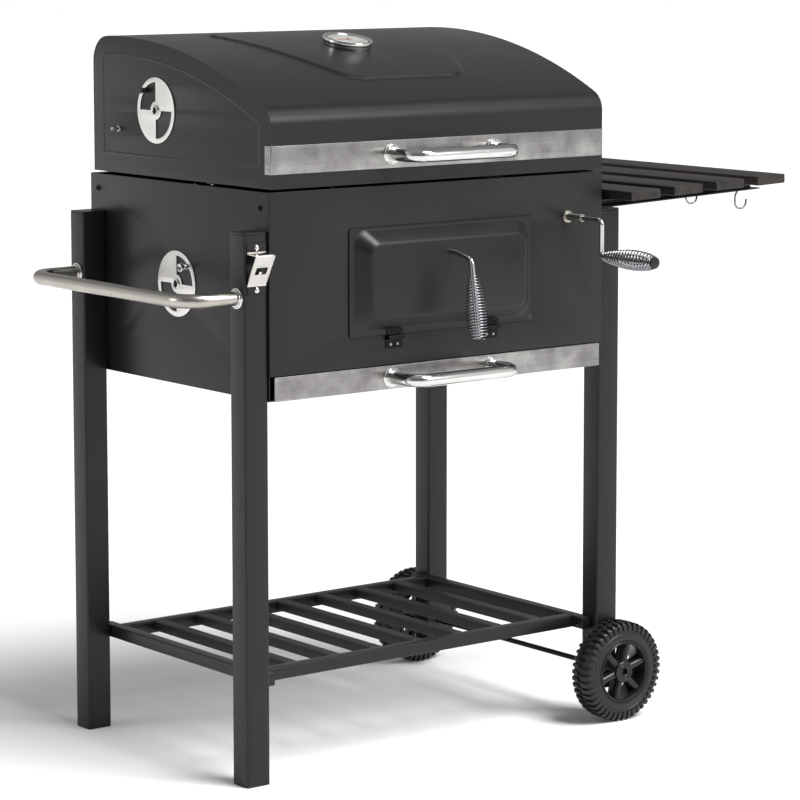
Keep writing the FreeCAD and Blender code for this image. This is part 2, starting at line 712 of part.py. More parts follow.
def crank():
    x, z = CRANK_X, CRANK_Z
    out = -CRANK_REACH
    low = z - CRANK_ARM
    thin = ROD_R - 1
    route = [(x, 3 - BUSH_L, z), (x, out, z), (x, out, low), (x, CRANK_TIP + 2, low)]
    shaft = rod((x, -BUSH_L - 1, z), (x, PINION_Y[1] + 1.5, z), ROD_R)
    bent = swept(route, [CRANK_BEND, CRANK_BEND], thin)
    NODES["crank_rod"] = fused([bent, shaft, involute_teeth(*PINION_Y)])
    NODES["crank_grip"] = grip((x, out - 6, low), (x, CRANK_TIP + CAP_T, low), CRANK_GRIP_BELLY, thin)
    cap = rod((x, CRANK_TIP + CAP_T - 0.2, low), (x, CRANK_TIP, low), CRANK_CAP_R)
    NODES["crank_cap"] = cap.cut(rod((x, CRANK_TIP + CAP_T, low), (x, CRANK_TIP + 2, low), thin))
    bush = rod((x, 0, z), (x, -BUSH_L, z), BUSH_R)
    washer = rod((x, 0, z), (x, -WASHER_T, z), WASHER_R)
    bore = rod((x, 1, z), (x, -BUSH_L - 1, z), ROD_R + RUNNING)
    NODES["crank_bushing"] = bush.fuse(washer).removeSplitter().cut(bore)


def lift_rack():
    """The toothed bar on the charcoal tray, with a tooth space level with the crank at rest."""
    pitch_x = CRANK_X - TOOTH_MODULE * PINION_TEETH / 2
    step = math.pi * TOOTH_MODULE
    half = (step / 2 - BACKLASH) / 2
    tip = TOOTH_MODULE * 0.95
    root = TOOTH_MODULE * 1.3
    lean = math.tan(PRESSURE)
    below = math.ceil(LIFT / step) + 2.5
    bottom = CRANK_Z - below * step
    top = CRANK_Z + 2.5 * step
    back = pitch_x - RACK_BACK
    y0, y1 = RACK_Y
    points = [V(back, y0, bottom), V(pitch_x - root, y0, bottom)]
    for tooth in range(1, int(below + 2.5)):
        middle = bottom + tooth * step
        points += [V(pitch_x - root, y0, middle - half - root * lean),
                   V(pitch_x + tip, y0, middle - half + tip * lean),
                   V(pitch_x + tip, y0, middle + half - tip * lean),
                   V(pitch_x - root, y0, middle + half + root * lean)]
    points += [V(pitch_x - root, y0, top), V(back, y0, top)]
    bar = Part.Face(Part.makePolygon(points + [points[0]])).extrude(V(0, y1 - y0, 0))
    side = back + RACK_STEM
    foot_low = TRAY_FLOOR + TRAY_H * 0.4
    foot = block(back, side, y1 - 3, TRAY_Y0, foot_low, TRAY_FLOOR + TRAY_H - 2)
    stem = block(back, side, y0, y1, foot_low, bottom + 1)
    return fused([bar, stem, foot])


def charcoal_lift():
    """The slotted charcoal tray with its toothed bar, and the two posts that it slides on."""
    outer = block(TRAY_X0, TRAY_X1, TRAY_Y0, TRAY_Y1, TRAY_FLOOR, TRAY_FLOOR + TRAY_H)
    hollow = block(TRAY_X0 + SHEET, TRAY_X1 - SHEET, TRAY_Y0 + SHEET, TRAY_Y1 - SHEET,
                   TRAY_FLOOR + SHEET, TRAY_FLOOR + TRAY_H + 1)
    tray = outer.cut(hollow)
    slots = []
    half = TRAY_SLOT_W / 2
    pitch = (TRAY_X1 - TRAY_X0 - 2 * TRAY_SLOT_MARGIN) / (TRAY_SLOTS - 1)
    for i in range(TRAY_SLOTS):
        x = TRAY_X0 + TRAY_SLOT_MARGIN + i * pitch
        for y in TRAY_SLOT_ROWS:
            low = TRAY_Y0 + y
            slots.append(block(x - half, x + half, low, low + TRAY_SLOT_L,
                               TRAY_FLOOR - 1, TRAY_FLOOR + SHEET + 1))
    tray = tray.cut(Part.makeCompound(slots))
    top = TRAY_FLOOR + TRAY_H
    posts = (GUIDE_X, BOX_W - GUIDE_X)
    for x0, x1, post in ((GUIDE_X - 6, TRAY_X0, posts[0]), (TRAY_X1, posts[1] + 6, posts[1])):
        lug = block(x0, x1, GUIDE_Y - GUIDE_LUG, GUIDE_Y + GUIDE_LUG, top - 3, top)
        lug = lug.cut(rod((post, GUIDE_Y, top - 4), (post, GUIDE_Y, top + 1), GUIDE_R + 0.4))
        tray = tray.fuse(lug)
    NODES["charcoal_tray"] = tray.removeSplitter()
    NODES["lift_rack"] = lift_rack()
    guides = []
    foot, head = GUIDE_SPAN
    for post, wall in zip(posts, (SHEET, BOX_W - SHEET)):
        parts = [rod((post, GUIDE_Y, foot), (post, GUIDE_Y, head), GUIDE_R)]
        for z in (foot + 2, head - 8):
            parts.append(block(min(post, wall), max(post, wall),
                               GUIDE_Y - GUIDE_R, GUIDE_Y + GUIDE_R, z, z + 6))
        guides.append(fused(parts))
    NODES["lift_guides"] = Part.makeCompound(guides)


# ---------------------------------------------------------------- lid

def lid_face(inset, x):
    """The lid's side outline, set in by a wall's thickness, as a face across x."""
    knee = LID_KNEE_R - inset
    heel = LID_HEEL_R - inset
    arc = LID_ARC_R - inset
    front = LID_FRONT + inset
    back = LID_BACK - inset
    knee_c = (LID_FRONT + LID_KNEE_R,
              ARC_CENTRE_Z + math.sqrt((LID_ARC_R - LID_KNEE_R) ** 2
                                       - (LID_CREST_Y - LID_FRONT - LID_KNEE_R) ** 2))
    heel_c = (LID_BACK - LID_HEEL_R,
              ARC_CENTRE_Z + math.sqrt((LID_ARC_R - LID_HEEL_R) ** 2
                                       - (LID_BACK - LID_HEEL_R - LID_CREST_Y) ** 2))

    def on_arc(centre, radius, angle):
        return V(x, centre[0] + radius * math.cos(angle), centre[1] + radius * math.sin(angle))

    main_c = (LID_CREST_Y, ARC_CENTRE_Z)
    a_knee = math.atan2(knee_c[1] - main_c[1], knee_c[0] - main_c[0])
    a_heel = math.atan2(heel_c[1] - main_c[1], heel_c[0] - main_c[0])
    low = LID_BOTTOM - (1 if inset else 0)
    edges = [
        Part.LineSegment(V(x, front, low), V(x, front, knee_c[1])),
        Part.Arc(V(x, front, knee_c[1]), on_arc(knee_c, knee, (math.pi + a_knee) / 2),
                 on_arc(knee_c, knee, a_knee)),
        Part.Arc(on_arc(main_c, arc, a_knee), on_arc(main_c, arc, (a_knee + a_heel) / 2),
                 on_arc(main_c, arc, a_heel)),
        Part.Arc(on_arc(heel_c, heel, a_heel), on_arc(heel_c, heel, a_heel / 2),
                 V(x, back, heel_c[1])),
        Part.LineSegment(V(x, back, heel_c[1]), V(x, back, low)),
        Part.LineSegment(V(x, back, low), V(x, front, low)),
    ]
    return Part.Face(Part.Wire([e.toShape() for e in edges]))


def lid():
    width = LID_X1 - LID_X0
    outer = lid_face(0, LID_X0).extrude(V(width, 0, 0))
    inner = lid_face(SHEET, LID_X0 - 1).extrude(V(width + 2, 0, 0))
    shell = outer.cut(inner)
    seat, way = thermometer_seat()
    shell = shell.cut(Part.makeCylinder(STEM_R + 0.5, 40, seat - way * 20, way))
    NODES["lid_shell"] = shell
    for name, x in (("lid_side_left", LID_X0), ("lid_side_right", LID_X1 - SHEET)):
        panel = lid_face(SHEET, x).extrude(V(SHEET, 0, 0))
        panel = panel.cut(block(x - 1, x + SHEET + 1, -10, BOX_D, LID_BOTTOM - 5, LID_BOTTOM))
        for hole in vent_holes(x - 1, x + SHEET + 1, LID_VENT, LID_VENT_CLOSED):
            panel = panel.cut(hole)
        panel = panel.cut(rod((x - 1, *LID_VENT), (x + SHEET + 1, *LID_VENT), RIVET_R))
        NODES[name] = panel
    front = LID_FRONT - STRIP_T
    strip = block(LID_X0 - STRIP_T, LID_X1 + STRIP_T, front, front + STRIP_WRAP, STRIP_Z0, STRIP_Z1)
    behind = block(LID_X0, LID_X1, LID_FRONT, STRIP_WRAP + 1, STRIP_Z0 - 1, STRIP_Z1 + 1)
    NODES["lid_strip"] = strip.cut(behind)
    handle, flanges = bar_handle(front, (STRIP_Z0 + STRIP_Z1) / 2)
    NODES["lid_handle"] = handle
    NODES["lid_handle_flanges"] = flanges


def lid_hinges():
    fixed, moving, pins = [], [], []
    y, z, w = LID_HINGE_Y, LID_HINGE_Z, LID_HINGE_W
    ear_w = w / 4
    for x0 in LID_HINGES_X:
        box_leaf = [block(x0, x0 + w, BOX_D, BOX_D + LID_LEAF_T, z - LID_LEAF_H[0], z - 6)]
        for ear in (x0, x0 + w - ear_w):
            box_leaf.append(block(ear, ear + ear_w, BOX_D, y, z - 8, z))
        lid_leaf = [block(x0, x0 + w, LID_BACK, LID_BACK + SHEET, z - 2, z + LID_LEAF_H[1]),
                    block(x0 + ear_w + 1, x0 + w - ear_w - 1, LID_BACK, y, z - 2, z + 2)]
        a, b, c = hinge(x0, w, y, z, LID_KNUCKLE, LID_PIN, box_leaf, lid_leaf)
        fixed.append(a)
        moving.append(b)
        pins.append(c)
    NODES["lid_hinge_leaves"] = Part.makeCompound(moving)
    return fixed, pins


def hinges():
    lid_fixed, lid_pins = lid_hinges()
    door_fixed, door_pins = door_hinges()
    NODES["hinge_plates"] = Part.makeCompound(lid_fixed + door_fixed)
    NODES["hinge_pins"] = Part.makeCompound(lid_pins + door_pins)


def thermometer_seat():
    """The point on the lid under the thermometer and the outward direction there."""
    lean = math.asin((LID_CREST_Y - THERMO_Y) / LID_ARC_R)
    way = V(0, -math.sin(lean), math.cos(lean))
    return V(THERMO_X, LID_CREST_Y, ARC_CENTRE_Z) + way * LID_ARC_R, way


def thermometer():
    """The case with its probe through the lid, and the needle that turns on a post in its dial."""
    seat, way = thermometer_seat()
    top = seat + way * (THERMO_H + 0.8)
    case = Part.makeCylinder(THERMO_R - 1, THERMO_H, seat + way * 0.8, way)
    rim = Part.makeCylinder(THERMO_R, BEZEL_H, top - way * BEZEL_H, way)
    recess = Part.makeCylinder(THERMO_R - BEZEL_W, BEZEL_H + 1, top - way * BEZEL_H, way)
    stem = Part.makeCylinder(STEM_R, 22, seat - way * 20, way)
    probe = Part.makeCylinder(PROBE_R, PROBE_L, seat - way * PROBE_L, way)
    post = Part.makeCylinder(POST_R, BEZEL_H - 1, top - way * (BEZEL_H + 0.8), way)
    cup = fused([case, rim]).cut(recess)
    NODES["thermometer_case"] = fused([cup, stem, probe, post])
    dial = top - way * (BEZEL_H - 0.8)
    along = V(-1, 0, 0)
    boss = Part.makeCylinder(2 * POST_R + 0.5, 1.2, dial, way)
    blade = Part.makeBox(NEEDLE_L, 2, 0.8, V(-4, -1, 0))
    turn = FreeCAD.Rotation(along, way.cross(along), way, "ZXY")
    blade.Placement = FreeCAD.Placement(dial + way * 0.2, turn)
    hole = Part.makeCylinder(POST_R + RUNNING, 6, dial - way * 2, way)
    NODES["thermometer_needle"] = boss.fuse(blade).removeSplitter().cut(hole)


# ---------------------------------------------------------------- push handle and bottle opener

def push_handle():
    y0 = LEG_FRONT + LEG_Y / 2
    y1 = LEG_REAR + LEG_Y / 2
    route = [(-LEG_X, y0, PUSH_Z), (PUSH_X, y0, PUSH_Z), (PUSH_X, y1, PUSH_Z), (-LEG_X, y1, PUSH_Z)]
    NODES["push_handle"] = swept_tube(route, [PUSH_BEND, PUSH_BEND], PUSH_R, TUBE_WALL)
    NODES["push_handle_flanges"] = Part.makeCompound(
        [collar((-LEG_X, y, PUSH_Z), V(-1, 0, 0), PUSH_R) for y in (y0, y1)])


def bottle_opener():
    """A folded plate on the front left leg: tab, shelf, slotted slope, tab."""
    back = LEG_FRONT
    face = back - OPENER_T
    top, shelf_z, slope_end, bottom = OPENER_Z
    tip = (back - OPENER_REACH, shelf_z)
    # the plate's section, down its back and up its front
    outline = [(back, top), (back, shelf_z), (tip[0] + 2.6, shelf_z - OPENER_T), (back, slope_end),
               (back, bottom), (face, bottom), (face, slope_end - 0.6), tip,
               (face, shelf_z + OPENER_T), (face, top)]
    corners = [V(OPENER_X0, y, z) for y, z in outline]
    section = Part.Face(Part.makePolygon(corners + [corners[0]]))
    plate = section.extrude(V(OPENER_X1 - OPENER_X0, 0, 0))
    slot_x = (OPENER_X0 + OPENER_EDGE, OPENER_X1 - OPENER_EDGE)
    plate = plate.cut(block(*slot_x, tip[0] - 5, back - 1, *OPENER_SLOT))
    for height in OPENER_SCREWS:
        plate = plate.cut(opener_hole(height))
    NODES["bottle_opener"] = plate


# ---------------------------------------------------------------- side table

def tilted(shape):
    shape.rotate(V(BOX_W, 0, RIGHT_LEG_TOP + 0.3), V(0, -1, 0), TABLE_TILT)
    return shape


def table():
    low = RIGHT_LEG_TOP + 0.3
    top = low + BRACKET_H
    frame = []
    front, rear = LEG_FRONT + BRACKET_INSET, LEG_REAR + LEG_Y - BRACKET_INSET - BRACKET_D
    for y0, open_front in ((front, True), (rear, False)):
        y1 = y0 + BRACKET_D
        channel = block(BOX_W + 1, BRACKET_END, y0, y1, low, top)
        cut = (y0 - 1, y1 - BRACKET_WALL) if open_front else (y0 + BRACKET_WALL, y1 + 1)
        channel = channel.cut(block(BOX_W, BRACKET_END + 1, *cut, low + BRACKET_WALL, top - BRACKET_WALL))
        frame.append(tilted(channel))
    frame.append(rod((RAIL_X, front + BRACKET_D, RAIL_Z), (RAIL_X, rear, RAIL_Z), RAIL_R))
    NODES["table_brackets"] = Part.makeCompound(frame)
    pitch = (TABLE_X1 - TABLE_X0 - TABLE_SLAT_W) / (TABLE_SLATS - 1)
    slats = []
    for i in range(TABLE_SLATS):
        x = TABLE_X0 + i * pitch
        slats.append(tilted(block(x, x + TABLE_SLAT_W, TABLE_Y0, TABLE_Y1, top, top + TABLE_SLAT_T)))
    NODES["table_slats"] = Part.makeCompound(slats)


def hooks():
    """Bent wire hooks: a square loop over the rail, a straight shank and an open U below."""
    loop = RAIL_R + HOOK_GAP + HOOK_WIRE
    for name, y in zip(("hook_front", "hook_rear"), HOOKS_Y):
        outline = [(-loop, -4), (-loop, loop), (loop, loop), (loop, -7),
                   (0, -15), (0, -35), (21, -35), (24, -21)]
        route = [(RAIL_X + x, y, RAIL_Z + z) for x, z in outline]
        NODES[name] = swept(route, [loop - 0.01, loop - 0.01, 6, 6, 10, 10], HOOK_WIRE)


# ---------------------------------------------------------------- fasteners

def button_bolt(foot, way, head, height, grip_length):
    """A domed screw: head outside, shank through the wall behind its foot."""
    foot = V(*foot)
    dome = Part.makeSphere(head * 1.25, foot - way * (head * 1.25 - height), way)
    disc = Part.makeCylinder(head, height + 1, foot, way)
    shank = Part.makeCylinder(SCREW_R, grip_length, foot - way * grip_length, way)
    return fused([dome.common(disc), shank])


def box_screws():
    left = V(-1, 0, 0)
    right = V(1, 0, 0)
    forward = V(0, -1, 0)
    middle = (OPENER_X0 + OPENER_X1) / 2
    screws = [button_bolt((middle, LEG_FRONT - OPENER_T, z), forward, *HEAD, OPENER_T + LEG_WALL)
              for z in OPENER_SCREWS]
    for spot in BOX_SCREWS:
        screws.append(button_bolt((0, *spot), left, *HEAD, SHEET))
        screws.append(button_bolt((BOX_W, *spot), right, *HEAD, SHEET))
    return screws


def lid_stop():
    """The small bolt that stands out of the lid's left side."""
    y, z = LID_BOLT
    bolt = rod((LID_X0, y, z), (LID_X0 - LID_BOLT_L, y, z), SCREW_R + 0.5)
    return bolt.fuse(rod((LID_X0, y, z), (LID_X0 - 3, y, z), HEAD[0])).removeSplitter()


def fasteners():
    box_rivets = [vent("box_vent_left", 0, -1, BOX_VENT, BOX_VENT_CLOSED, BOX_KNOB_ANGLE),
                  vent("box_vent_right", BOX_W, 1, BOX_VENT, BOX_VENT_CLOSED, BOX_KNOB_ANGLE)]
    NODES["box_fasteners"] = Part.makeCompound(box_rivets + box_screws())
    lid_rivets = [vent("lid_vent_left", LID_X0, -1, LID_VENT, LID_VENT_CLOSED, LID_KNOB_ANGLE),
                  vent("lid_vent_right", LID_X1, 1, LID_VENT, LID_VENT_CLOSED, LID_KNOB_ANGLE)]
    NODES["lid_fasteners"] = Part.makeCompound(lid_rivets + [lid_stop()])


def export():
    os.makedirs("parts", exist_ok=True)
    for name, shape in NODES.items():
        placed = shape.copy()
        placed.translate(V(-CENTRE_X, -CENTRE_Y, 0))
        placed.exportStep("parts/" + name + ".step")


legs()
shelf()
wheels()
fire_box()
drawer_rails()
grate_ledges()
cooking_grates()
drawer()
door()
door_handle()
crank()
charcoal_lift()
lid()
hinges()
thermometer()
push_handle()
bottle_opener()
table()
hooks()
fasteners()
export()
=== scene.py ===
import json
import math

import bmesh
import bpy
from mathutils import Matrix, Vector


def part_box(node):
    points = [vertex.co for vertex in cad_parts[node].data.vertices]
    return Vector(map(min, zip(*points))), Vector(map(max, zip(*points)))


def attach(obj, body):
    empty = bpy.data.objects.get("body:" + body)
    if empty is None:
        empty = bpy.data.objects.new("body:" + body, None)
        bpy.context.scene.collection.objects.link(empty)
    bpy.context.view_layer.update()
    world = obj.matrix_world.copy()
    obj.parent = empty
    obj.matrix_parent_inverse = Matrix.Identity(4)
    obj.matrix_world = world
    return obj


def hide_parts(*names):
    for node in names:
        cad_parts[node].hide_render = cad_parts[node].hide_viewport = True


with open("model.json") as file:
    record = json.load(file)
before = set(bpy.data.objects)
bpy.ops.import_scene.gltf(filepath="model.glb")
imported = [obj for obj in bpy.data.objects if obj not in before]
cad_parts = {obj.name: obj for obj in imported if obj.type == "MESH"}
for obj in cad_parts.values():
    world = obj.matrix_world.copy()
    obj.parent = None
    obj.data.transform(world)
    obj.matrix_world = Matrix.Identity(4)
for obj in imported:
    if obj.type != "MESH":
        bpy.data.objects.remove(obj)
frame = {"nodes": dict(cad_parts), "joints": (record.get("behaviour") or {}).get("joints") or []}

# A charcoal grill trolley: sheet-steel fire box and lid on four tube legs, with fire door, ash
# drawer, crank, shelf, wheels and a slatted side table. Pieces are made in millimetres from the
# fire box's left front corner, above the floor, and piece() puts them into the frame.

scene = bpy.context.scene
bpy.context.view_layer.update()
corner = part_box("firebox_front")[0]
TO_FRAME = Matrix.Translation((corner.x, corner.y, 0)) @ Matrix.Scale(0.001, 4)
TO_BENCH = TO_FRAME.inverted()
JOINTS = {joint["name"]: joint for joint in frame["joints"]}
SHEET = 1.5
PAINT_SHINE = 0.32
LEFT = Vector((-1, 0, 0))
RIGHT = Vector((1, 0, 0))
FRONT = Vector((0, -1, 0))
BACK = Vector((0, 1, 0))
UP = Vector((0, 0, 1))


def span(node):
    """A CAD node's lowest and highest corners in bench millimetres."""
    low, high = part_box(node)
    return TO_BENCH @ low, TO_BENCH @ high


def pivot(joint):
    """Where a hinge's axis lies, in bench millimetres."""
    return TO_BENCH @ Vector(JOINTS[joint]["pos_m"])


# ---------------------------------------------------------------- node helper and materials

def add(tree, kind, inputs=None, **settings):
    """Adds one node. inputs maps a socket's name or number to a value or to another node's output."""
    made = tree.nodes.new(kind)
    for key, value in settings.items():
        setattr(made, key, value)
    for key, value in (inputs or {}).items():
        if isinstance(value, bpy.types.NodeSocket):
            tree.links.new(value, made.inputs[key])
        else:
            made.inputs[key].default_value = value
    return made


def srgb(code):
    """An sRGB hex code as the linear colour that a node takes."""
    parts = [int(code[i:i + 2], 16) / 255 for i in (1, 3, 5)]
    return tuple(p / 12.92 if p <= 0.04045 else ((p + 0.055) / 1.055) ** 2.4 for p in parts) + (1.0,)


def started(name, colour, metallic, roughness):
    """A new material: itself, its tree, its shader and the piece's own coordinates. Paint, rubber and
    plastic get a little less shine than the usual 0.5, to suit their satin skin."""
    made = bpy.data.materials.new(name)
    made.use_nodes = True
    tree = made.node_tree
    tree.nodes.clear()
    shader = add(tree, "ShaderNodeBsdfPrincipled",
                 {"Base Color": srgb(colour), "Metallic": metallic, "Roughness": roughness,
                  "Specular IOR Level": 0.5 if metallic else PAINT_SHINE})
    add(tree, "ShaderNodeOutputMaterial", {"Surface": shader.outputs[0]})
    return made, tree, shader, add(tree, "ShaderNodeTexCoord").outputs["Object"]


def powder_coated_steel(name, light, dark, roughness):
    """Powder-coated steel: paint powder sprayed on dry and baked, which leaves a satin skin with a
    fine orange peel and a faint cloudiness. The peel is drawn 4 mm wide, coarser than real, to show."""
    made, tree, shader, where = started(name, light, 0.0, roughness)
    cloud = add(tree, "ShaderNodeTexNoise", {"Vector": where, "Scale": 11.0, "Detail": 4.0})
    tone = add(tree, "ShaderNodeMix", {0: cloud.outputs["Fac"], 6: srgb(light), 7: srgb(dark)},
               data_type="RGBA")
    sheen = add(tree, "ShaderNodeMapRange",
                {0: cloud.outputs["Fac"], 3: roughness - 0.05, 4: roughness + 0.06})
    peel = add(tree, "ShaderNodeTexNoise", {"Vector": where, "Scale": 260.0, "Detail": 2.0})
    skin = add(tree, "ShaderNodeBump",
               {"Height": peel.outputs["Fac"], "Strength": 0.12, "Distance": 0.0004})
    tree.links.new(tone.outputs[2], shader.inputs["Base Color"])
    tree.links.new(sheen.outputs[0], shader.inputs["Roughness"])
    tree.links.new(skin.outputs[0], shader.inputs["Normal"])
    return made


def brushed_steel():
    """Brushed stainless steel: ground with a belt along x, so it has fine streaks that spread the
    light across them, with cloudy finger marks. Streaks are drawn about 1 mm apart to show."""
    made, tree, shader, where = started("brushed stainless steel", "#9a9896", 1.0, 0.3)
    along = add(tree, "ShaderNodeMapping", {"Vector": where, "Scale": (7.0, 300.0, 900.0)})
    streak = add(tree, "ShaderNodeTexNoise", {"Vector": along.outputs[0], "Scale": 1.0, "Detail": 5.0})
    smudge = add(tree, "ShaderNodeTexNoise",
                 {"Vector": where, "Scale": 24.0, "Detail": 3.0, "Roughness": 0.6})
    both = add(tree, "ShaderNodeMath", {0: streak.outputs["Fac"], 1: 0.35, 2: smudge.outputs["Fac"]},
               operation="MULTIPLY_ADD")
    tone = add(tree, "ShaderNodeMapRange", {0: both.outputs[0], 1: 0.48, 2: 0.87})
    colour = add(tree, "ShaderNodeMix", {0: tone.outputs[0], 6: srgb("#7f7d7c"), 7: srgb("#a9a7a5")},
                 data_type="RGBA")
    gloss = add(tree, "ShaderNodeMapRange", {0: both.outputs[0], 1: 0.48, 2: 0.87, 3: 0.36, 4: 0.25})
    grooves = add(tree, "ShaderNodeBump",
                  {"Height": streak.outputs["Fac"], "Strength": 0.15, "Distance": 0.0003})
    tree.links.new(colour.outputs[2], shader.inputs["Base Color"])
    tree.links.new(gloss.outputs[0], shader.inputs["Roughness"])
    tree.links.new(grooves.outputs[0], shader.inputs["Normal"])
    shader.inputs["Anisotropic"].default_value = 0.5
    return made


def polished_steel(name, colour, dull, low, high):
    """Polished or plated steel: buffed bright, so it mirrors its surroundings, with faint patches about
    30 mm wide where it was handled. low and high are the least and greatest roughness."""
    made, tree, shader, where = started(name, colour, 1.0, low)
    patch = add(tree, "ShaderNodeTexNoise", {"Vector": where, "Scale": 35.0, "Detail": 4.0})
    tone = add(tree, "ShaderNodeMix", {0: patch.outputs["Fac"], 6: srgb(colour), 7: srgb(dull)},
               data_type="RGBA")
    gloss = add(tree, "ShaderNodeMapRange", {0: patch.outputs["Fac"], 1: 0.3, 2: 0.7, 3: low, 4: high})
    tree.links.new(tone.outputs[2], shader.inputs["Base Color"])
    tree.links.new(gloss.outputs[0], shader.inputs["Roughness"])
    return made


def moulded_black(name, colour, roughness, grit):
    """Black plastic or rubber out of a mould: even colour, a soft shine and a fine spark-eroded grain
    whose grit is given in grains per metre."""
    made, tree, shader, where = started(name, colour, 0.0, roughness)
    grain = add(tree, "ShaderNodeTexNoise", {"Vector": where, "Scale": grit, "Detail": 3.0})
    dust = add(tree, "ShaderNodeTexNoise", {"Vector": where, "Scale": 40.0, "Detail": 5.0})
    tone = add(tree, "ShaderNodeMix", {0: dust.outputs["Fac"], 6: srgb(colour), 7: srgb("#262324")},
               data_type="RGBA")
    gloss = add(tree, "ShaderNodeMapRange",
                {0: dust.outputs["Fac"], 3: roughness - 0.08, 4: roughness + 0.1})
    skin = add(tree, "ShaderNodeBump",
               {"Height": grain.outputs["Fac"], "Strength": 0.2, "Distance": 0.0003})
    tree.links.new(tone.outputs[2], shader.inputs["Base Color"])
    tree.links.new(gloss.outputs[0], shader.inputs["Roughness"])
    tree.links.new(skin.outputs[0], shader.inputs["Normal"])
    return made


def stained_wood():
    """Stained hardwood: planed boards with grain along y, soaked in a charcoal stain that stays
    darker in the pores. Growth rings about 8 mm apart, pores as fine streaks."""
    made, tree, shader, where = started("stained wood", "#4c4644", 0.0, 0.62)
    along = add(tree, "ShaderNodeMapping", {"Vector": where, "Scale": (120.0, 5.0, 120.0)})
    wander = add(tree, "ShaderNodeTexNoise", {"Vector": along.outputs[0], "Scale": 0.6, "Detail": 3.0})
    pores = add(tree, "ShaderNodeTexNoise", {"Vector": along.outputs[0], "Scale": 6.0, "Detail": 4.0})
    both = add(tree, "ShaderNodeMath", {0: wander.outputs["Fac"], 1: pores.outputs["Fac"]},
               operation="MULTIPLY")
    depth = add(tree, "ShaderNodeMapRange", {0: both.outputs[0], 1: 0.12, 2: 0.42, 3: 0.0, 4: 1.0})
    tone = add(tree, "ShaderNodeMix", {0: depth.outputs[0], 6: srgb("#161413"), 7: srgb("#37322f")},
               data_type="RGBA")
    relief = add(tree, "ShaderNodeBump", {"Height": depth.outputs[0], "Strength": 0.35, "Distance": 0.0006})
    tree.links.new(tone.outputs[2], shader.inputs["Base Color"])
    tree.links.new(relief.outputs[0], shader.inputs["Normal"])
    return made


def black_enamel():
    """Vitreous enamel: glass fused on steel in a kiln, deep black and glossy, with tiny dimples."""
    made, tree, shader, where = started("black enamel", "#161617", 0.0, 0.2)
    dimples = add(tree, "ShaderNodeTexNoise", {"Vector": where, "Scale": 150.0, "Detail": 2.0})
    skin = add(tree, "ShaderNodeBump",
               {"Height": dimples.outputs["Fac"], "Strength": 0.1, "Distance": 0.0004})
    gloss = add(tree, "ShaderNodeMapRange", {0: dimples.outputs["Fac"], 3: 0.15, 4: 0.3})
    tree.links.new(skin.outputs[0], shader.inputs["Normal"])
    tree.links.new(gloss.outputs[0], shader.inputs["Roughness"])
    return made


def lens_glass():
    """Float glass: flat, clear and polished by the melt, so only its reflections show. Its IOR is far
    below the usual 1.5, so that the thin pane leaves the dial under it bright."""
    made, _, shader, _ = started("clear glass", "#ffffff", 0.0, 0.02)
    shader.inputs["Transmission Weight"].default_value = 1.0
    shader.inputs["IOR"].default_value = 1.05
    return made


def printed_dial():
    """Painted aluminium dial: rolled sheet with a matt light grey lacquer, slightly mottled."""
    made, tree, shader, where = started("painted dial", "#b5b3af", 0.0, 0.6)
    mottle = add(tree, "ShaderNodeTexNoise", {"Vector": where, "Scale": 300.0, "Detail": 3.0})
    tone = add(tree, "ShaderNodeMix", {0: mottle.outputs["Fac"], 6: srgb("#aaa8a4"), 7: srgb("#c0beba")},
               data_type="RGBA")
    tree.links.new(tone.outputs[2], shader.inputs["Base Color"])
    return made


COAT = powder_coated_steel("powder-coated steel", "#1b191a", "#141314", 0.33)
SHELF_PAINT = powder_coated_steel("shelf powder coat", "#2a2623", "#1d1b19", 0.46)
BRUSHED = brushed_steel()
POLISHED = polished_steel("polished stainless steel", "#dedddb", "#cbcac8", 0.07, 0.15)
BRUSHED_TUBE = polished_steel("satin stainless tube", "#bdb9b2", "#a29e97", 0.22, 0.38)
VENT_STEEL = polished_steel("satin stainless sheet", "#e3e1de", "#d2d0cc", 0.28, 0.38)
# The grips' and hooks' plated wire gets a base colour much darker than the chrome it is plated with. This is
# painted shade: it stands in for the dark surroundings that the wire reflects.
SHADE_DARKENED_WIRE_STEEL = polished_steel("plated spring wire, darkened as painted shade", "#9d9da0", "#85858a", 0.08, 0.16)
OPENER_STEEL = polished_steel("zinc-plated opener steel", "#d2cfca", "#bcb9b4", 0.16, 0.3)
CHROME = polished_steel("chromium plate", "#d6d6d8", "#c2c2c4", 0.05, 0.1)
ZINC = polished_steel("zinc plate", "#b9b8b4", "#96948f", 0.25, 0.4)
BLACK_ZINC = polished_steel("black zinc plate", "#2b2a2a", "#1c1b1b", 0.3, 0.45)
RUBBER = moulded_black("moulded tyre rubber", "#171516", 0.36, 500.0)
PLASTIC = moulded_black("moulded black plastic", "#141213", 0.26, 350.0)
WOOD = stained_wood()
ENAMEL = black_enamel()
GLASS = lens_glass()
DIAL = printed_dial()
RED_PAINT = powder_coated_steel("red needle paint", "#b02318", "#96190f", 0.4)


# ---------------------------------------------------------------- mesh helpers

def to_mesh(work):
    """Closes the seams of a mesh being made, turns its faces outwards and ends it."""
    bmesh.ops.remove_doubles(work, verts=work.verts, dist=0.002)
    bmesh.ops.recalc_face_normals(work, faces=work.faces)
    made = bpy.data.meshes.new("made")
    work.to_mesh(made)
    work.free()
    return made


def merged(meshes):
    """Several closed meshes as one."""
    work = bmesh.new()
    for mesh in meshes:
        work.from_mesh(mesh)
    made = bpy.data.meshes.new("made")
    work.to_mesh(made)
    work.free()
    return made


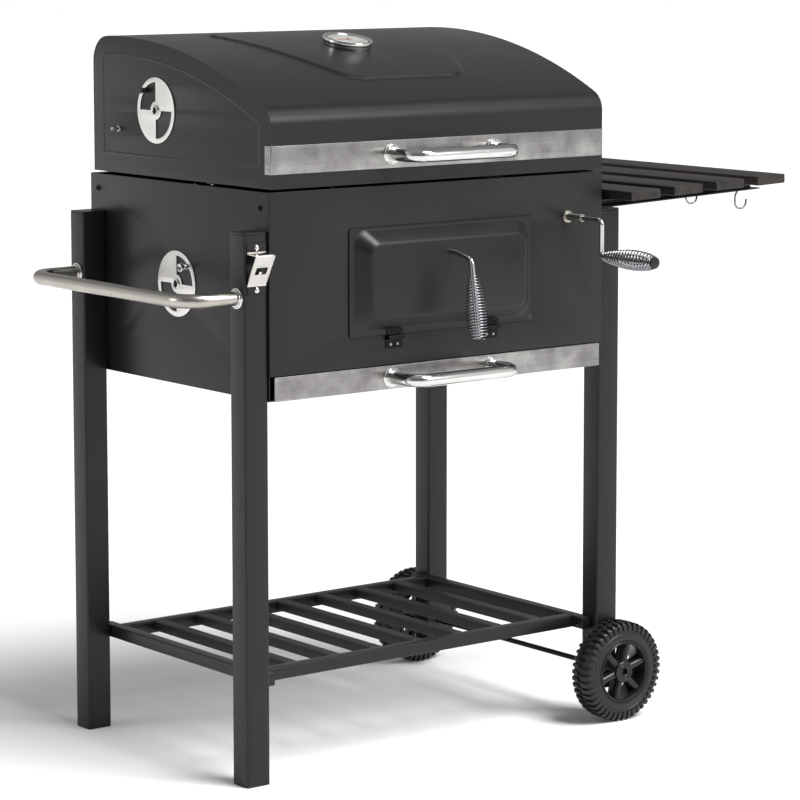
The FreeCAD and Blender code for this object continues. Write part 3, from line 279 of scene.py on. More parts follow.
def piece(name, mesh, material, body, replaces=(), sharp=35):
    """Puts a bench mesh into the frame as a finished piece on its body."""
    mesh.transform(TO_FRAME)
    mesh.materials.clear()
    mesh.materials.append(material)
    for face in mesh.polygons:
        face.material_index = 0
    mesh.shade_smooth()
    mesh.set_sharp_from_angle(angle=math.radians(sharp))
    made = bpy.data.objects.new(name, mesh)
    scene.collection.objects.link(made)
    if replaces:
        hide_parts(*replaces)
    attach(made, body)
    return made


def loft(rings, closed=False, capped=True):
    """Skins a list of equal rings of points; closed joins the last ring to the first."""
    work = bmesh.new()
    rows = [[work.verts.new(p) for p in ring] for ring in rings]
    pairs = list(zip(rows, rows[1:])) + ([(rows[-1], rows[0])] if closed else [])
    count = len(rows[0])
    for a, b in pairs:
        for k in range(count):
            work.faces.new((a[k], a[(k + 1) % count], b[(k + 1) % count], b[k]))
    if capped and not closed:
        work.faces.new(rows[0])
        work.faces.new(rows[-1])
    return to_mesh(work)


def lathe(profile, base, axis, steps=48, closed=False):
    """A mesh turned about an axis from (radius, height) points; a radius of 0 is a closed pole."""
    axis = Vector(axis).normalized()
    side = axis.orthogonal().normalized()
    other = axis.cross(side)
    work = bmesh.new()
    rings = []
    for radius, height in profile:
        middle = Vector(base) + axis * height
        turns = [2 * math.pi * k / steps for k in range(steps if radius else 1)]
        rings.append([work.verts.new(middle + (side * math.cos(t) + other * math.sin(t)) * radius)
                      for t in turns])
    for a, b in list(zip(rings, rings[1:])) + ([(rings[-1], rings[0])] if closed else []):
        for k in range(steps):
            n = (k + 1) % steps
            around = dict.fromkeys((a[k % len(a)], a[n % len(a)], b[n % len(b)], b[k % len(b)]))
            if len(around) > 2:
                work.faces.new(list(around))
    return to_mesh(work)


def rounded_path(points, bends, closed=False, turn=7.0):
    """Points along straight runs joined by tangent arcs, a point for about each 7 degrees."""
    corners = [Vector(p) for p in points]
    count = len(corners)
    inner = range(count) if closed else range(1, count - 1)
    path = [] if closed else [corners[0]]
    for i, bend in zip(inner, bends):
        here = corners[i]
        back = (corners[i - 1] - here).normalized()
        ahead = (corners[(i + 1) % count] - here).normalized()
        half = back.angle(ahead) / 2
        enter = here + back * (bend / math.tan(half))
        leave = here + ahead * (bend / math.tan(half))
        centre = here + (back + ahead).normalized() * (bend / math.sin(half))
        swing = (enter - centre).angle(leave - centre)
        axis = (enter - centre).cross(leave - centre).normalized()
        steps = max(2, round(math.degrees(swing) / turn))
        for k in range(steps + 1):
            path.append(centre + Matrix.Rotation(swing * k / steps, 3, axis) @ (enter - centre))
    return path if closed else path + [corners[-1]]


def sweep(path, section, up=None, closed=False):
    """Carries a section of (across, up) points along a path without twisting it."""
    count = len(path)
    rings = []
    last = None
    across = None
    for i, here in enumerate(path):
        before = path[i - 1] if closed or i else here
        after = path[(i + 1) % count] if closed or i < count - 1 else here
        tangent = (after - before).normalized()
        if last is None:
            lift = Vector(up) if up else tangent.orthogonal()
            across = tangent.cross(lift).normalized()
        else:
            across = last.rotation_difference(tangent) @ across
        rise = across.cross(tangent).normalized()
        last = tangent
        rings.append([here + across * u + rise * v for u, v in section])
    return loft(rings, closed)


def circle(radius, sides=20):
    return [(radius * math.cos(2 * math.pi * k / sides), radius * math.sin(2 * math.pi * k / sides))
            for k in range(sides)]


def rounded_rectangle(u0, u1, v0, v1, radius, steps=4):
    """The outline of a rectangle with round corners, anticlockwise."""
    outline = []
    for cu, cv, start in ((u1 - radius, v0 + radius, -90), (u1 - radius, v1 - radius, 0),
                          (u0 + radius, v1 - radius, 90), (u0 + radius, v0 + radius, 180)):
        for k in range(steps + 1):
            a = math.radians(start + 90 * k / steps)
            outline.append((cu + radius * math.cos(a), cv + radius * math.sin(a)))
    return outline


def round_bar(start, end, radius, sides):
    """A straight round bar between two points."""
    return sweep([Vector(start), Vector(end)], circle(radius, sides))


def turned_about(middle, angle):
    """A turn about the line through a point along y."""
    return Matrix.Translation(middle) @ Matrix.Rotation(angle, 4, "Y") @ Matrix.Translation(-middle)


def bar(low, high, along, radius):
    """A straight bar between two corners with rounded long edges and softened ends."""
    k = "xyz".index(along)
    a, b = [i for i in range(3) if i != k]
    soft = min(0.5, radius / 2)
    rings = []
    for place, shrink in ((low[k], soft), (low[k] + soft, 0), (high[k] - soft, 0), (high[k], soft)):
        outline = rounded_rectangle(low[a] + shrink, high[a] - shrink, low[b] + shrink, high[b] - shrink,
                                    radius - shrink / 2)
        ring = []
        for u, v in outline:
            point = [0, 0, 0]
            point[a], point[b], point[k] = u, v, place
            ring.append(point)
        rings.append(ring)
    return loft(rings)


def panel(outline, holes, thickness, edge, onto):
    """A flat sheet with holes and softened edges, drawn in u and v and placed by a matrix."""
    drawn = bpy.data.curves.new("drawn", "CURVE")
    drawn.dimensions = "2D"
    drawn.fill_mode = "BOTH"
    drawn.extrude = thickness / 2 - edge
    drawn.bevel_depth = edge
    drawn.bevel_resolution = 2
    drawn.offset = -edge
    for loop in [outline] + list(holes):
        line = drawn.splines.new("POLY")
        line.points.add(len(loop) - 1)
        for point, (u, v) in zip(line.points, loop):
            point.co = (u, v, 0, 1)
        line.use_cyclic_u = True
    holder = bpy.data.objects.new("drawn", drawn)
    scene.collection.objects.link(holder)
    flat = bpy.data.meshes.new_from_object(holder.evaluated_get(bpy.context.evaluated_depsgraph_get()))
    bpy.data.objects.remove(holder)
    work = bmesh.new()
    work.from_mesh(flat)
    made = to_mesh(work)
    made.transform(onto)
    return made


def across_x(x, thickness):
    """Places a panel drawn in (y, z) with its low face at x."""
    return Matrix(((0, 0, 1, x + thickness / 2), (1, 0, 0, 0), (0, 1, 0, 0), (0, 0, 0, 1)))


def across_y(y, thickness):
    """Places a panel drawn in (x, z) with its low face at y."""
    return Matrix(((1, 0, 0, 0), (0, 0, -1, y + thickness / 2), (0, 1, 0, 0), (0, 0, 0, 1)))


def arc(centre, radius, start, end, steps):
    """Points on an arc in a plane, angles in degrees."""
    return [(centre[0] + radius * math.cos(math.radians(start + (end - start) * k / steps)),
             centre[1] + radius * math.sin(math.radians(start + (end - start) * k / steps)))
            for k in range(steps + 1)]


def sector(centre, inner, outer, start, end):
    """A ring sector's outline."""
    return arc(centre, outer, start, end, 16) + arc(centre, inner, end, start, 6)


# ---------------------------------------------------------------- Geometry Nodes

def new_tree(name, sockets):
    """A Geometry Nodes tree with a geometry input and output and further named inputs."""
    tree = bpy.data.node_groups.new(name, "GeometryNodeTree")
    tree.interface.new_socket("Geometry", in_out="OUTPUT", socket_type="NodeSocketGeometry")
    tree.interface.new_socket("Geometry", in_out="INPUT", socket_type="NodeSocketGeometry")
    for label, kind in sockets:
        tree.interface.new_socket(label, in_out="INPUT", socket_type="NodeSocket" + kind)
    return tree, add(tree, "NodeGroupInput").outputs


def close_tree(tree, geometry, material):
    """Ends a tree in real geometry that has its material."""
    real = add(tree, "GeometryNodeRealizeInstances", {0: geometry})
    painted = add(tree, "GeometryNodeSetMaterial", {"Geometry": real.outputs[0], "Material": material})
    add(tree, "NodeGroupOutput", {0: painted.outputs[0]})
    return tree


def row_tree():
    """Copies of a piece in a straight row."""
    tree, given = new_tree("row of copies", [("Count", "Int"), ("Step", "Vector"), ("Material", "Material")])
    line = add(tree, "GeometryNodeMeshLine", {"Count": given["Count"], "Offset": given["Step"]},
               mode="OFFSET")
    copies = add(tree, "GeometryNodeInstanceOnPoints",
                 {"Points": line.outputs[0], "Instance": given["Geometry"]})
    return close_tree(tree, copies.outputs[0], given["Material"])


def ring_tree():
    """Copies of a piece turned about an axis by equal angles."""
    tree, given = new_tree("ring of copies", [("Count", "Int"), ("Centre", "Vector"), ("Axis", "Vector"),
                                              ("Sweep", "Float"), ("Material", "Material")])
    points = add(tree, "GeometryNodeMeshLine", {"Count": given["Count"], "Offset": (0, 0, 0)}, mode="OFFSET")
    copies = add(tree, "GeometryNodeInstanceOnPoints",
                 {"Points": points.outputs[0], "Instance": given["Geometry"]})
    share = add(tree, "ShaderNodeMath", {0: given["Sweep"], 1: given["Count"]}, operation="DIVIDE")
    number = add(tree, "GeometryNodeInputIndex")
    angle = add(tree, "ShaderNodeMath", {0: number.outputs[0], 1: share.outputs[0]}, operation="MULTIPLY")
    turn = add(tree, "FunctionNodeAxisAngleToRotation", {"Axis": given["Axis"], "Angle": angle.outputs[0]})
    turned = add(tree, "GeometryNodeRotateInstances",
                 {"Instances": copies.outputs[0], "Rotation": turn.outputs[0],
                  "Pivot Point": given["Centre"], "Local Space": False})
    return close_tree(tree, turned.outputs[0], given["Material"])


def scatter_tree():
    """A fastener head on each point of a mesh, standing along the point's stored direction."""
    tree, given = new_tree("fasteners on points", [("Head", "Object"), ("Material", "Material")])
    head = add(tree, "GeometryNodeObjectInfo", {"Object": given["Head"]})
    way = add(tree, "GeometryNodeInputNamedAttribute", {"Name": "way"}, data_type="FLOAT_VECTOR")
    stand = add(tree, "FunctionNodeAlignRotationToVector", {"Vector": way.outputs[0]}, axis="Z")
    heads = add(tree, "GeometryNodeInstanceOnPoints",
                {"Points": given["Geometry"], "Instance": head.outputs["Geometry"],
                 "Rotation": stand.outputs[0]})
    return close_tree(tree, heads.outputs[0], given["Material"])


COIL_POINTS = 520


def coil_tree():
    """A sprung wire grip: a helix about z whose radius follows a belly-shaped curve."""
    tree, given = new_tree("wire coil", [("Length", "Float"), ("Turns", "Float"), ("Belly", "Float"),
                                         ("Wire", "Float"), ("Material", "Material")])
    line = add(tree, "GeometryNodeCurvePrimitiveLine", {"End": (0, 0, 1)})
    fine = add(tree, "GeometryNodeResampleCurve", {"Curve": line.outputs[0], "Count": COIL_POINTS})
    part = add(tree, "GeometryNodeSplineParameter").outputs["Factor"]
    shape = add(tree, "ShaderNodeFloatCurve", {"Value": part})
    points = shape.mapping.curves[0].points
    points[0].location = (0.0, 0.38)
    points[1].location = (1.0, 0.6)
    for spot in ((0.3, 0.8), (0.62, 0.99), (0.85, 0.88)):
        points.new(*spot)
    shape.mapping.update()
    radius = add(tree, "ShaderNodeMath", {0: shape.outputs[0], 1: given["Belly"]}, operation="MULTIPLY")
    turns = add(tree, "ShaderNodeMath", {0: given["Turns"], 1: 2 * math.pi}, operation="MULTIPLY")
    angle = add(tree, "ShaderNodeMath", {0: part, 1: turns.outputs[0]}, operation="MULTIPLY")
    cosine = add(tree, "ShaderNodeMath", {0: angle.outputs[0]}, operation="COSINE")
    sine = add(tree, "ShaderNodeMath", {0: angle.outputs[0]}, operation="SINE")
    x = add(tree, "ShaderNodeMath", {0: cosine.outputs[0], 1: radius.outputs[0]}, operation="MULTIPLY")
    y = add(tree, "ShaderNodeMath", {0: sine.outputs[0], 1: radius.outputs[0]}, operation="MULTIPLY")
    z = add(tree, "ShaderNodeMath", {0: part, 1: given["Length"]}, operation="MULTIPLY")
    place = add(tree, "ShaderNodeCombineXYZ", {0: x.outputs[0], 1: y.outputs[0], 2: z.outputs[0]})
    wound = add(tree, "GeometryNodeSetPosition",
                {"Geometry": fine.outputs[0], "Position": place.outputs[0]})
    wire = add(tree, "GeometryNodeCurvePrimitiveCircle", {"Resolution": 8, "Radius": given["Wire"]})
    coil = add(tree, "GeometryNodeCurveToMesh",
               {"Curve": wound.outputs[0], "Profile Curve": wire.outputs[0], "Fill Caps": True})
    return close_tree(tree, coil.outputs[0], given["Material"])


ROW = row_tree()
RING = ring_tree()
SCATTER = scatter_tree()
COIL = coil_tree()


def grown(mesh, tree, inputs):
    """Runs a tree on a mesh and returns the plain mesh that it makes."""
    carrier = bpy.data.objects.new("carrier", mesh)
    scene.collection.objects.link(carrier)
    maker = carrier.modifiers.new("maker", "NODES")
    maker.node_group = tree
    for item in tree.interface.items_tree:
        if item.in_out == "INPUT" and item.name in inputs:
            maker[item.identifier] = inputs[item.name]
    made = bpy.data.meshes.new_from_object(carrier.evaluated_get(bpy.context.evaluated_depsgraph_get()))
    bpy.data.objects.remove(carrier)
    return made


def in_a_row(mesh, count, step, material):
    return grown(mesh, ROW, {"Count": count, "Step": step, "Material": material})


def in_a_ring(mesh, count, centre, axis, material, sweep_by=2 * math.pi):
    return grown(mesh, RING, {"Count": count, "Centre": centre, "Axis": axis, "Sweep": sweep_by,
                              "Material": material})


def fasteners(name, spots, radius, height, material, body, replaces=(), socket=True):
    """Domed heads at (point, direction) spots, with a hexagon socket in each."""
    dome = [(radius, 0)] + [(radius * math.cos(a), height * math.sin(a)) for a in
                            (math.radians(d) for d in (0, 15, 30, 45, 60))]
    if socket:
        rim = radius * 0.5
        dome += [(rim, height), (rim * 0.94, height * 0.96), (rim * 0.9, height * 0.35), (0, height * 0.35)]
    else:
        dome += [(radius * 0.3, height * 0.97), (0, height)]
    head = bpy.data.objects.new("head", lathe([(0, 0)] + dome, (0, 0, 0), UP, 18))
    scene.collection.objects.link(head)
    cloud = bpy.data.meshes.new("spots")
    cloud.from_pydata([tuple(at) for at, way in spots], [], [])
    ways = cloud.attributes.new("way", "FLOAT_VECTOR", "POINT")
    for entry, (at, way) in zip(ways.data, spots):
        entry.vector = way
    made = grown(cloud, SCATTER, {"Head": head, "Material": material})
    bpy.data.objects.remove(head)
    return piece(name, made, material, body, replaces)


# ---------------------------------------------------------------- legs, shelf and wheels

def legs():
    """Square steel tubes with rolled corners, and a moulded cap in each end."""
    cap = -span("leg_front_left")[1].z + span("leg_caps")[1].z
    caps = []
    for name in ("leg_front_left", "leg_rear_left", "leg_front_right", "leg_rear_right"):
        low, high = span(name)
        piece(name + "_tube", bar(low, high, "z", 3.0), COAT, "cart", [name])
        for z in (high.z, low.z - cap):
            caps.append(bar((low.x, low.y, z), (high.x, high.y, z + cap), "z", 3.2))
    piece("leg_end_caps", merged(caps), PLASTIC, "cart", ["leg_caps"])


def shelf():
    """A frame of square tubes with slats welded across it, level with its top."""
    low, high = span("shelf_frame")
    slat_low, slat_high = span("shelf_slats")
    thick = high.z - low.z
    slat_width, slats = 20.0, 7
    frame_bars = [bar((x, low.y, low.z), (x + thick, high.y, high.z), "y", 2.0)
                  for x in (low.x, high.x - thick)]
    for y in (slat_low.y - thick, slat_high.y):
        frame_bars.append(bar((low.x + thick, y, low.z), (high.x - thick, y + thick, high.z), "x", 2.0))
    piece("shelf_tubes", merged(frame_bars), COAT, "cart", ["shelf_frame"])
    slat = bar(slat_low, (slat_low.x + slat_width, slat_high.y, slat_high.z), "y", 1.8)
    step = (slat_high.x - slat_low.x - slat_width) / (slats - 1)
    piece("shelf_slat_tubes", in_a_row(slat, slats, (step, 0, 0), SHELF_PAINT), SHELF_PAINT, "cart",
          ["shelf_slats"])
    from_end = 9.0
    spots = [((x, y, (low.z + high.z) / 2), way) for y in (low.y + from_end, high.y - from_end)
             for x, way in ((low.x + thick, RIGHT), (high.x - thick, LEFT))]
    fasteners("shelf_bolts", spots, 4.6, 2.6, BLACK_ZINC, "cart")


def wheel(side, way):
    """A moulded wheel: ribbed tyre, stepped rim, boss and spokes, each turned from (radius, depth)
    points. way points from its outer face towards the leg."""
    low, high = span("tyre_" + side)
    hub_x, hub_z = (low.x + high.x) / 2, (low.z + high.z) / 2
    radius, width = (high.z - low.z) / 2, high.y - low.y
    face = low.y if way.y > 0 else high.y
    axle = Vector((hub_x, face, hub_z))
    rim, lugs, spokes = 46.8, 44, 6
    outer = [(rim, 1.5), (rim + 0.8, 0.5), (50.5, 0.2), (51.2, -0.3), (52.0, 0.2), (57.4, 0.4),
             (58.0, -0.1), (58.6, 0.5), (62.5, 0.9), (67.5, 1.6), (70.2, 3.4), (71.3, 6.5),
             (71.5, width / 2 - 2.2)]
    groove = [(70.4, width / 2 - 1.6), (70.4, width / 2)]
    half = outer + groove
    profile = half + [(r, width - h) for r, h in reversed(half[:-1])]
    carcass = lathe(profile, axle, way, 88, closed=True)
    lug_path = rounded_path([(61.5, 0.9, 0), (72.4, 1.8, 0), (73.0, width / 2 - 2.4, 0)], [5.0], turn=20)
    section = rounded_rectangle(-2.6, 2.6, -1.9, 1.9, 0.7, 2)
    tread = []
    for flip, offset in ((1, 0.0), (-1, math.pi / lugs)):
        places = [axle + way * (p.y if flip > 0 else width - p.y) + RIGHT * p.x for p in lug_path]
        lug = sweep(places, section, up=UP.cross(way * flip))
        lug.transform(turned_about(axle, offset))
        tread.append(in_a_ring(lug, lugs, axle, BACK, RUBBER))
    piece("tyre_tread_" + side, merged([carcass] + tread), RUBBER, "wheel_" + side,
          ["tyre_" + side])
    ring = [(rim - 0.2, 2.5), (rim - 0.2, 0.2), (46.0, -0.5), (45.3, -0.5), (44.9, 0.4), (44.2, 0.4),
            (43.8, -0.2), (43.1, -0.2), (42.4, 0.8), (41.4, 4.0), (41.0, width - 4),
            (42.4, width - 0.8), (rim - 0.2, width - 1.5)]
    boss = [(5.6, 6.0), (5.6, 0.8), (6.3, 0.1), (9.2, 0.0), (9.9, 0.9), (11.8, 0.9), (12.4, 0.1),
            (15.2, 0.0), (16.0, 0.8), (16.4, width - 1), (15.6, width), (4.1, width), (4.1, 6.0)]
    spoke_at, half_wide, half_deep = axle + way * 14, 6.0, 11.0
    spoke = sweep([spoke_at + RIGHT * 13, spoke_at + RIGHT * 43],
                  rounded_rectangle(-half_wide, half_wide, -half_deep, half_deep, 5.9, 6), up=way)
    spoke.transform(turned_about(axle, -math.pi / 12))
    parts = [lathe(ring, axle, way, 72, closed=True), lathe(boss, axle, way, 40, closed=True),
             in_a_ring(spoke, spokes, axle, BACK, PLASTIC)]
    piece("wheel_hub_" + side, merged(parts), PLASTIC, "wheel_" + side, ["hub_" + side])


def axle():
    """A steel rod with turned-down ends, black zinc plated."""
    low, high = span("wheel_axle")
    radius = (high.x - low.x) / 2
    length = high.y - low.y
    soft = 0.8
    rod = [(0, 0), (radius - soft, 0), (radius, soft), (radius, length - soft), (radius - soft, length),
           (0, length)]
    middle = Vector((low.x + radius, low.y, low.z + radius))
    piece("axle_rod", lathe(rod, middle, BACK, 24), BLACK_ZINC, "cart", ["wheel_axle"])


# ---------------------------------------------------------------- fire box and drawer

def vent_slots(centre, first):
    """The two air holes behind a vent disc."""
    return [sector(centre, 16, 37, a + 6, a + 84) for a in (first, first + 180)]


def fire_box():
    """Folded sheet panels: the front with its door and crank holes, plain sides with vents, and a back."""
    low, high = span("firebox_front")
    door_low, door_high = span("door_panel")
    crank = pivot("crank_turn")
    outline = rounded_rectangle(low.x, high.x, low.z, high.z, 1.2)
    side_lap, lower_lap, upper_lap = 18.0, 14.0, 10.0
    doorway = rounded_rectangle(door_low.x + side_lap, door_high.x - side_lap, door_low.z + lower_lap,
                                door_high.z - upper_lap, 10)
    shaft = arc((crank.x, crank.z), 4.2, 0, 345, 23)
    front = panel(outline, [doorway, shaft], SHEET, 0.6, across_y(low.y, SHEET))
    rim = bar((low.x + SHEET, SHEET, high.z - SHEET), (high.x - SHEET, high.y, high.z), "x", 0.6)
    piece("front_panel", merged([front, rim]), COAT, "cart", ["firebox_front"])
    back_low, back_high = span("firebox_rear")
    rear = panel(rounded_rectangle(back_low.x, back_high.x, back_low.z, back_high.z, 1.2), [], SHEET, 0.6,
                 across_y(back_high.y - SHEET, SHEET))
    rear_rim = bar((low.x + SHEET, back_low.y, high.z - SHEET),
                   (high.x - SHEET, back_high.y - SHEET, high.z), "x", 0.6)
    piece("rear_panel", merged([rear, rear_rim]), COAT, "cart", ["firebox_rear"])
    for side in ("left", "right"):
        side_low, side_high = span("firebox_" + side)
        hub = pivot("box_vent_%s_turn" % side)
        sheet = panel(rounded_rectangle(side_low.y, side_high.y, side_low.z, side_high.z, 1.0),
                      vent_slots((hub.y, hub.z), 0), SHEET, 0.5, across_x(side_low.x, SHEET))
        piece(side + "_side_panel", sheet, COAT, "cart", ["firebox_" + side])


def box_screws():
    """Round-head screws through the sides, the vents' hollow rivets and the bottle opener's screws."""
    left_x, right_x = span("firebox_left")[0].x, span("firebox_right")[1].x
    spots = []
    for y, z in ((429.0, 800.5), (20.0, 800.0)):
        spots += [((left_x, y, z), LEFT), ((right_x, y, z), RIGHT)]
    low, high = span("bottle_opener")
    fasteners("box_side_screws", spots, 4.4, 2.4, BLACK_ZINC, "cart", ["box_fasteners"])
    opener_spots = [(((low.x + high.x) / 2, high.y - 2, z), FRONT) for z in (748.5, 690.5)]
    fasteners("opener_screws", opener_spots, 4.4, 2.9, POLISHED, "cart",
              socket=False)
    eyelet = [(4.9, -1.0), (4.9, 1.5), (5.3, 2.2), (6.2, 2.4), (7.2, 1.7), (7.6, 0.3), (7.6, 0), (5.4, 0),
              (5.4, -1)]
    for side, way in (("left", LEFT), ("right", RIGHT)):
        for part, body in (("lid", "lid"), ("box", "cart")):
            hub = pivot("%s_vent_%s_turn" % (part, side)) + way * SHEET
            piece("%s_vent_rivet_%s" % (part, side), lathe(eyelet, hub, way, 32, closed=True), POLISHED,
                  body, ["lid_fasteners"] if (part, side) == ("lid", "left") else [])


def vents():
    """Stamped discs with two open quarters, and a turned knob riveted near the rim."""
    rim_radius, open_to, hub_radius, knob_radius, thick, gap = 47.0, 40.0, 13.0, 38.0, 1.2, 0.3
    low_knob = [(0, 0), (3.8, 0), (3.8, 3), (3.2, 4.5), (4.4, 6.5), (4.8, 8), (4.4, 9.2), (0, 9.5)]
    tall_knob = [(0, 0), (5.0, 0), (5.0, 3), (4.2, 5), (5.6, 8), (6.5, 10.5), (6.3, 12.6), (5.2, 13.7),
                 (0, 14)]
    for part, first, knob_at, knob, finish, slot in (
            ("lid", 90, 47, low_knob, PLASTIC, "black_plastic"),
            ("box", 0, 137, tall_knob, CHROME, "chrome_plate")):
        for side, way in (("left", LEFT), ("right", RIGHT)):
            hub = pivot("%s_vent_%s_turn" % (part, side))
            middle = (hub.y, hub.z)
            holes = [sector(middle, hub_radius, open_to, first + a, first + a + 90) for a in (90, 270)]
            holes.append(arc(middle, 5.6, 0, 345, 23))
            inner_x = hub.x + (gap if way.x > 0 else -gap - thick)
            disc = panel(arc(middle, rim_radius, 0, 356, 89), holes, thick, 0.35, across_x(inner_x, thick))
            name = "%s_vent_%s" % (part, side)
            body = "vent_%s_%s" % (part, side)
            piece(name + "_disc", disc, VENT_STEEL, body, [name])
            a = math.radians(knob_at)
            foot = hub + way * (gap + thick) + (BACK * math.cos(a) + UP * math.sin(a)) * knob_radius
            piece(name + "_knob", lathe(knob, foot, way, 32), finish, body)


def drawer():
    """A brushed strip in front of a folded pan."""
    low, high = span("drawer_front")
    thick = high.y - low.y
    strip = panel(rounded_rectangle(low.x, high.x, low.z, high.z, 1.5), [], thick, 0.5,
                  across_y(low.y, thick))
    piece("drawer_strip", strip, BRUSHED, "drawer", ["drawer_front"])
    pan_low, pan_high = span("drawer_pan")

    def ring(inset, z, radius):
        outline = rounded_rectangle(pan_low.x + inset, pan_high.x - inset, pan_low.y + inset,
                                    pan_high.y - inset, radius)
        return [(u, v, z) for u, v in outline]

    fold = 2.0
    rings = [ring(fold, pan_low.z, 4), ring(0, pan_low.z + fold, 6), ring(0, pan_high.z, 6),
             ring(SHEET, pan_high.z, 4.5), ring(SHEET, pan_low.z + SHEET + fold, 4.5),
             ring(SHEET + fold, pan_low.z + SHEET, 3)]
    piece("drawer_tray", loft(rings), ENAMEL, "drawer", ["drawer_pan"])
    bar_handle("drawer_handle", "drawer")


def flange(foot, way, bore):
    """A turned flange with a step, that seats a tube on a wall."""
    profile = [(bore, 0), (14.5, 0), (14.5, 1.3), (14.0, 2.0), (12.7, 2.3), (12.4, 2.7), (12.4, 4.1),
               (11.8, 4.8), (bore + 0.5, 5.0), (bore, 4.6)]
    return lathe(profile, foot, way, 48, closed=True)


def bar_handle(node, body):
    """A bent tube handle across a front face, with its two flanges."""
    low, high = span(node)
    radius = (high.z - low.z) / 2
    z = (low.z + high.z) / 2
    x0, x1 = low.x + radius, high.x - radius
    y = low.y + radius
    path = rounded_path([(x0, high.y, z), (x0, y, z), (x1, y, z), (x1, high.y, z)], [24, 24], turn=5)
    piece(node + "_tube", sweep(path, circle(radius, 32)), POLISHED, body, [node])
    rings = merged([flange((x, high.y, z), FRONT, radius + 0.05) for x in (x0, x1)])
    piece(node + "_seats", rings, POLISHED, body, [node + "_flanges"])


def push_handle():
    """The tube handle that the trolley is pulled by, with its flanges on the left legs."""
    low, high = span("push_handle")
    radius = (high.z - low.z) / 2
    z = (low.z + high.z) / 2
    x, y0, y1 = low.x + radius, low.y + radius, high.y - radius
    path = rounded_path([(high.x, y0, z), (x, y0, z), (x, y1, z), (high.x, y1, z)], [38, 38], turn=5)
    piece("push_handle_tube", sweep(path, circle(radius, 32)), BRUSHED_TUBE, "cart",
          ["push_handle"])
    rings = merged([flange((high.x, y, z), LEFT, radius + 0.05) for y in (y0, y1)])
    piece("push_handle_seats", rings, POLISHED, "cart", ["push_handle_flanges"])


# ---------------------------------------------------------------- fire door

def door():
    """A pressed door: a flat flange and a dish that stands out with sloping walls and round edges."""
    low, high = span("door_panel")
    front = high.y - SHEET

    def ring(inset, y, radius):
        top = inset / 2 if inset < 9 else inset - 4.5
        outline = rounded_rectangle(low.x + inset, high.x - inset, low.z + inset, high.z - top, radius, 8)
        return [(u, y, v) for u, v in outline]

    # each ring of the pressing: inset from the door's edge, depth behind its flange, corner radius
    shape = [(0.0, 0.6, 4), (0.4, 0.0, 4), (6.0, 0.0, 12), (7.4, -0.2, 18), (8.6, -0.9, 22),
             (10.0, -2.3, 24), (24.0, -15.6, 18), (25.4, -16.8, 17), (26.9, -17.6, 16), (28.8, -18.0, 15)]
    outer = [ring(i, front + y, r) for i, y, r in shape]
    inner = [ring(i + 0.8, front + y + SHEET, max(r - 0.8, 3)) for i, y, r in reversed(shape[2:])]
    edge = [ring(0.5, front + SHEET, 4), ring(0.0, front + SHEET - 0.4, 4)]
    piece("door_pressing", loft(inner + edge + outer), COAT, "door", ["door_panel"],
          sharp=50)
    rivets_x = [hinge_x + from_edge for hinge_x in (199.0, 373.0) for from_edge in (8.0, 20.0)]
    on_door = [((x, -3.4, 617.5), FRONT) for x in rivets_x]
    fasteners("door_hinge_rivets", on_door, 2.0, 1.1, BLACK_ZINC, "door")
    on_box = [((x, -1.4, 598.5), FRONT) for x in rivets_x]
    fasteners("box_hinge_rivets", on_box, 2.2, 1.3, ZINC, "cart")


def coil_grip(name, start, end, turns, wire, belly, body, node):
    """A wire grip wound from start to end; wire and belly are radii."""
    start, end = Vector(start), Vector(end)
    seed = bpy.data.meshes.new("seed")
    seed.from_pydata([(0, 0, 0)], [], [])
    coil = grown(seed, COIL, {"Length": (end - start).length, "Turns": turns, "Belly": belly, "Wire": wire,
                              "Material": SHADE_DARKENED_WIRE_STEEL})
    coil.transform(Matrix.Translation(start) @ (end - start).to_track_quat("Z", "X").to_matrix().to_4x4())
    piece(name, coil, SHADE_DARKENED_WIRE_STEEL, body, [node], sharp=60)


def door_handle():
    """A bent rod with a wire grip."""
    high = span("door_handle")[1]
    hinge = pivot("door_handle_turn")
    x, z = hinge.x, hinge.z
    knee, bend, end = (x, -32, z), Vector((x, -66, z - 8)), Vector((x, -82, 606))
    path = rounded_path([(x, high.y, z), knee, bend, end], [12.0, 9.0], turn=6)
    piece("door_handle_rod", sweep(path, circle(3.8, 20)), CHROME, "door_turn",
          ["door_handle"])
    coil_grip("door_handle_grip", bend + (end - bend) * 0.2, end, 22, 0.95, 14.4, "door_turn", "door_grip")


def crank():
    """The crank: satin bush, rod, bent arm and wire grip with a black end cap."""
    hinge = pivot("crank_turn")
    x, z = hinge.x, hinge.z
    out, foot, tip = -75.0, z - 52.0, span("crank_cap")[0].y
    path = rounded_path([(x, 11, z), (x, out, z), (x, out, foot), (x, tip + 2, foot)], [7, 7], turn=6)
    pinion = involute_pinion(x, z, 11.5, 24.5)
    piece("crank_arm", merged([sweep(path, circle(3.4, 20)), pinion]), CHROME, "crank",
          ["crank_rod"])
    coil_grip("crank_wire_grip", (x, out - 6, foot), (x, tip + 4, foot), 17, 1.35, 13.8, "crank",
              "crank_grip")
    cap = [(0, 0), (7.0, 0), (8.3, 0.5), (8.5, 1.2), (8.5, 3.2), (8.0, 3.8), (0, 3.8)]
    piece("crank_end_cap", lathe(cap, (x, tip, foot), BACK, 32), PLASTIC, "crank",
          ["crank_cap"])
    bush = [(4.1, 0), (9.0, 0), (9.0, 1.2), (8.4, 2.0), (5.8, 2.2), (5.6, 2.8), (5.6, 32.2), (5.2, 33),
            (4.1, 33)]
    piece("crank_bush", lathe(bush, (x, 0, z), FRONT, 32, closed=True), BRUSHED_TUBE, "cart",
          ["crank_bushing"])


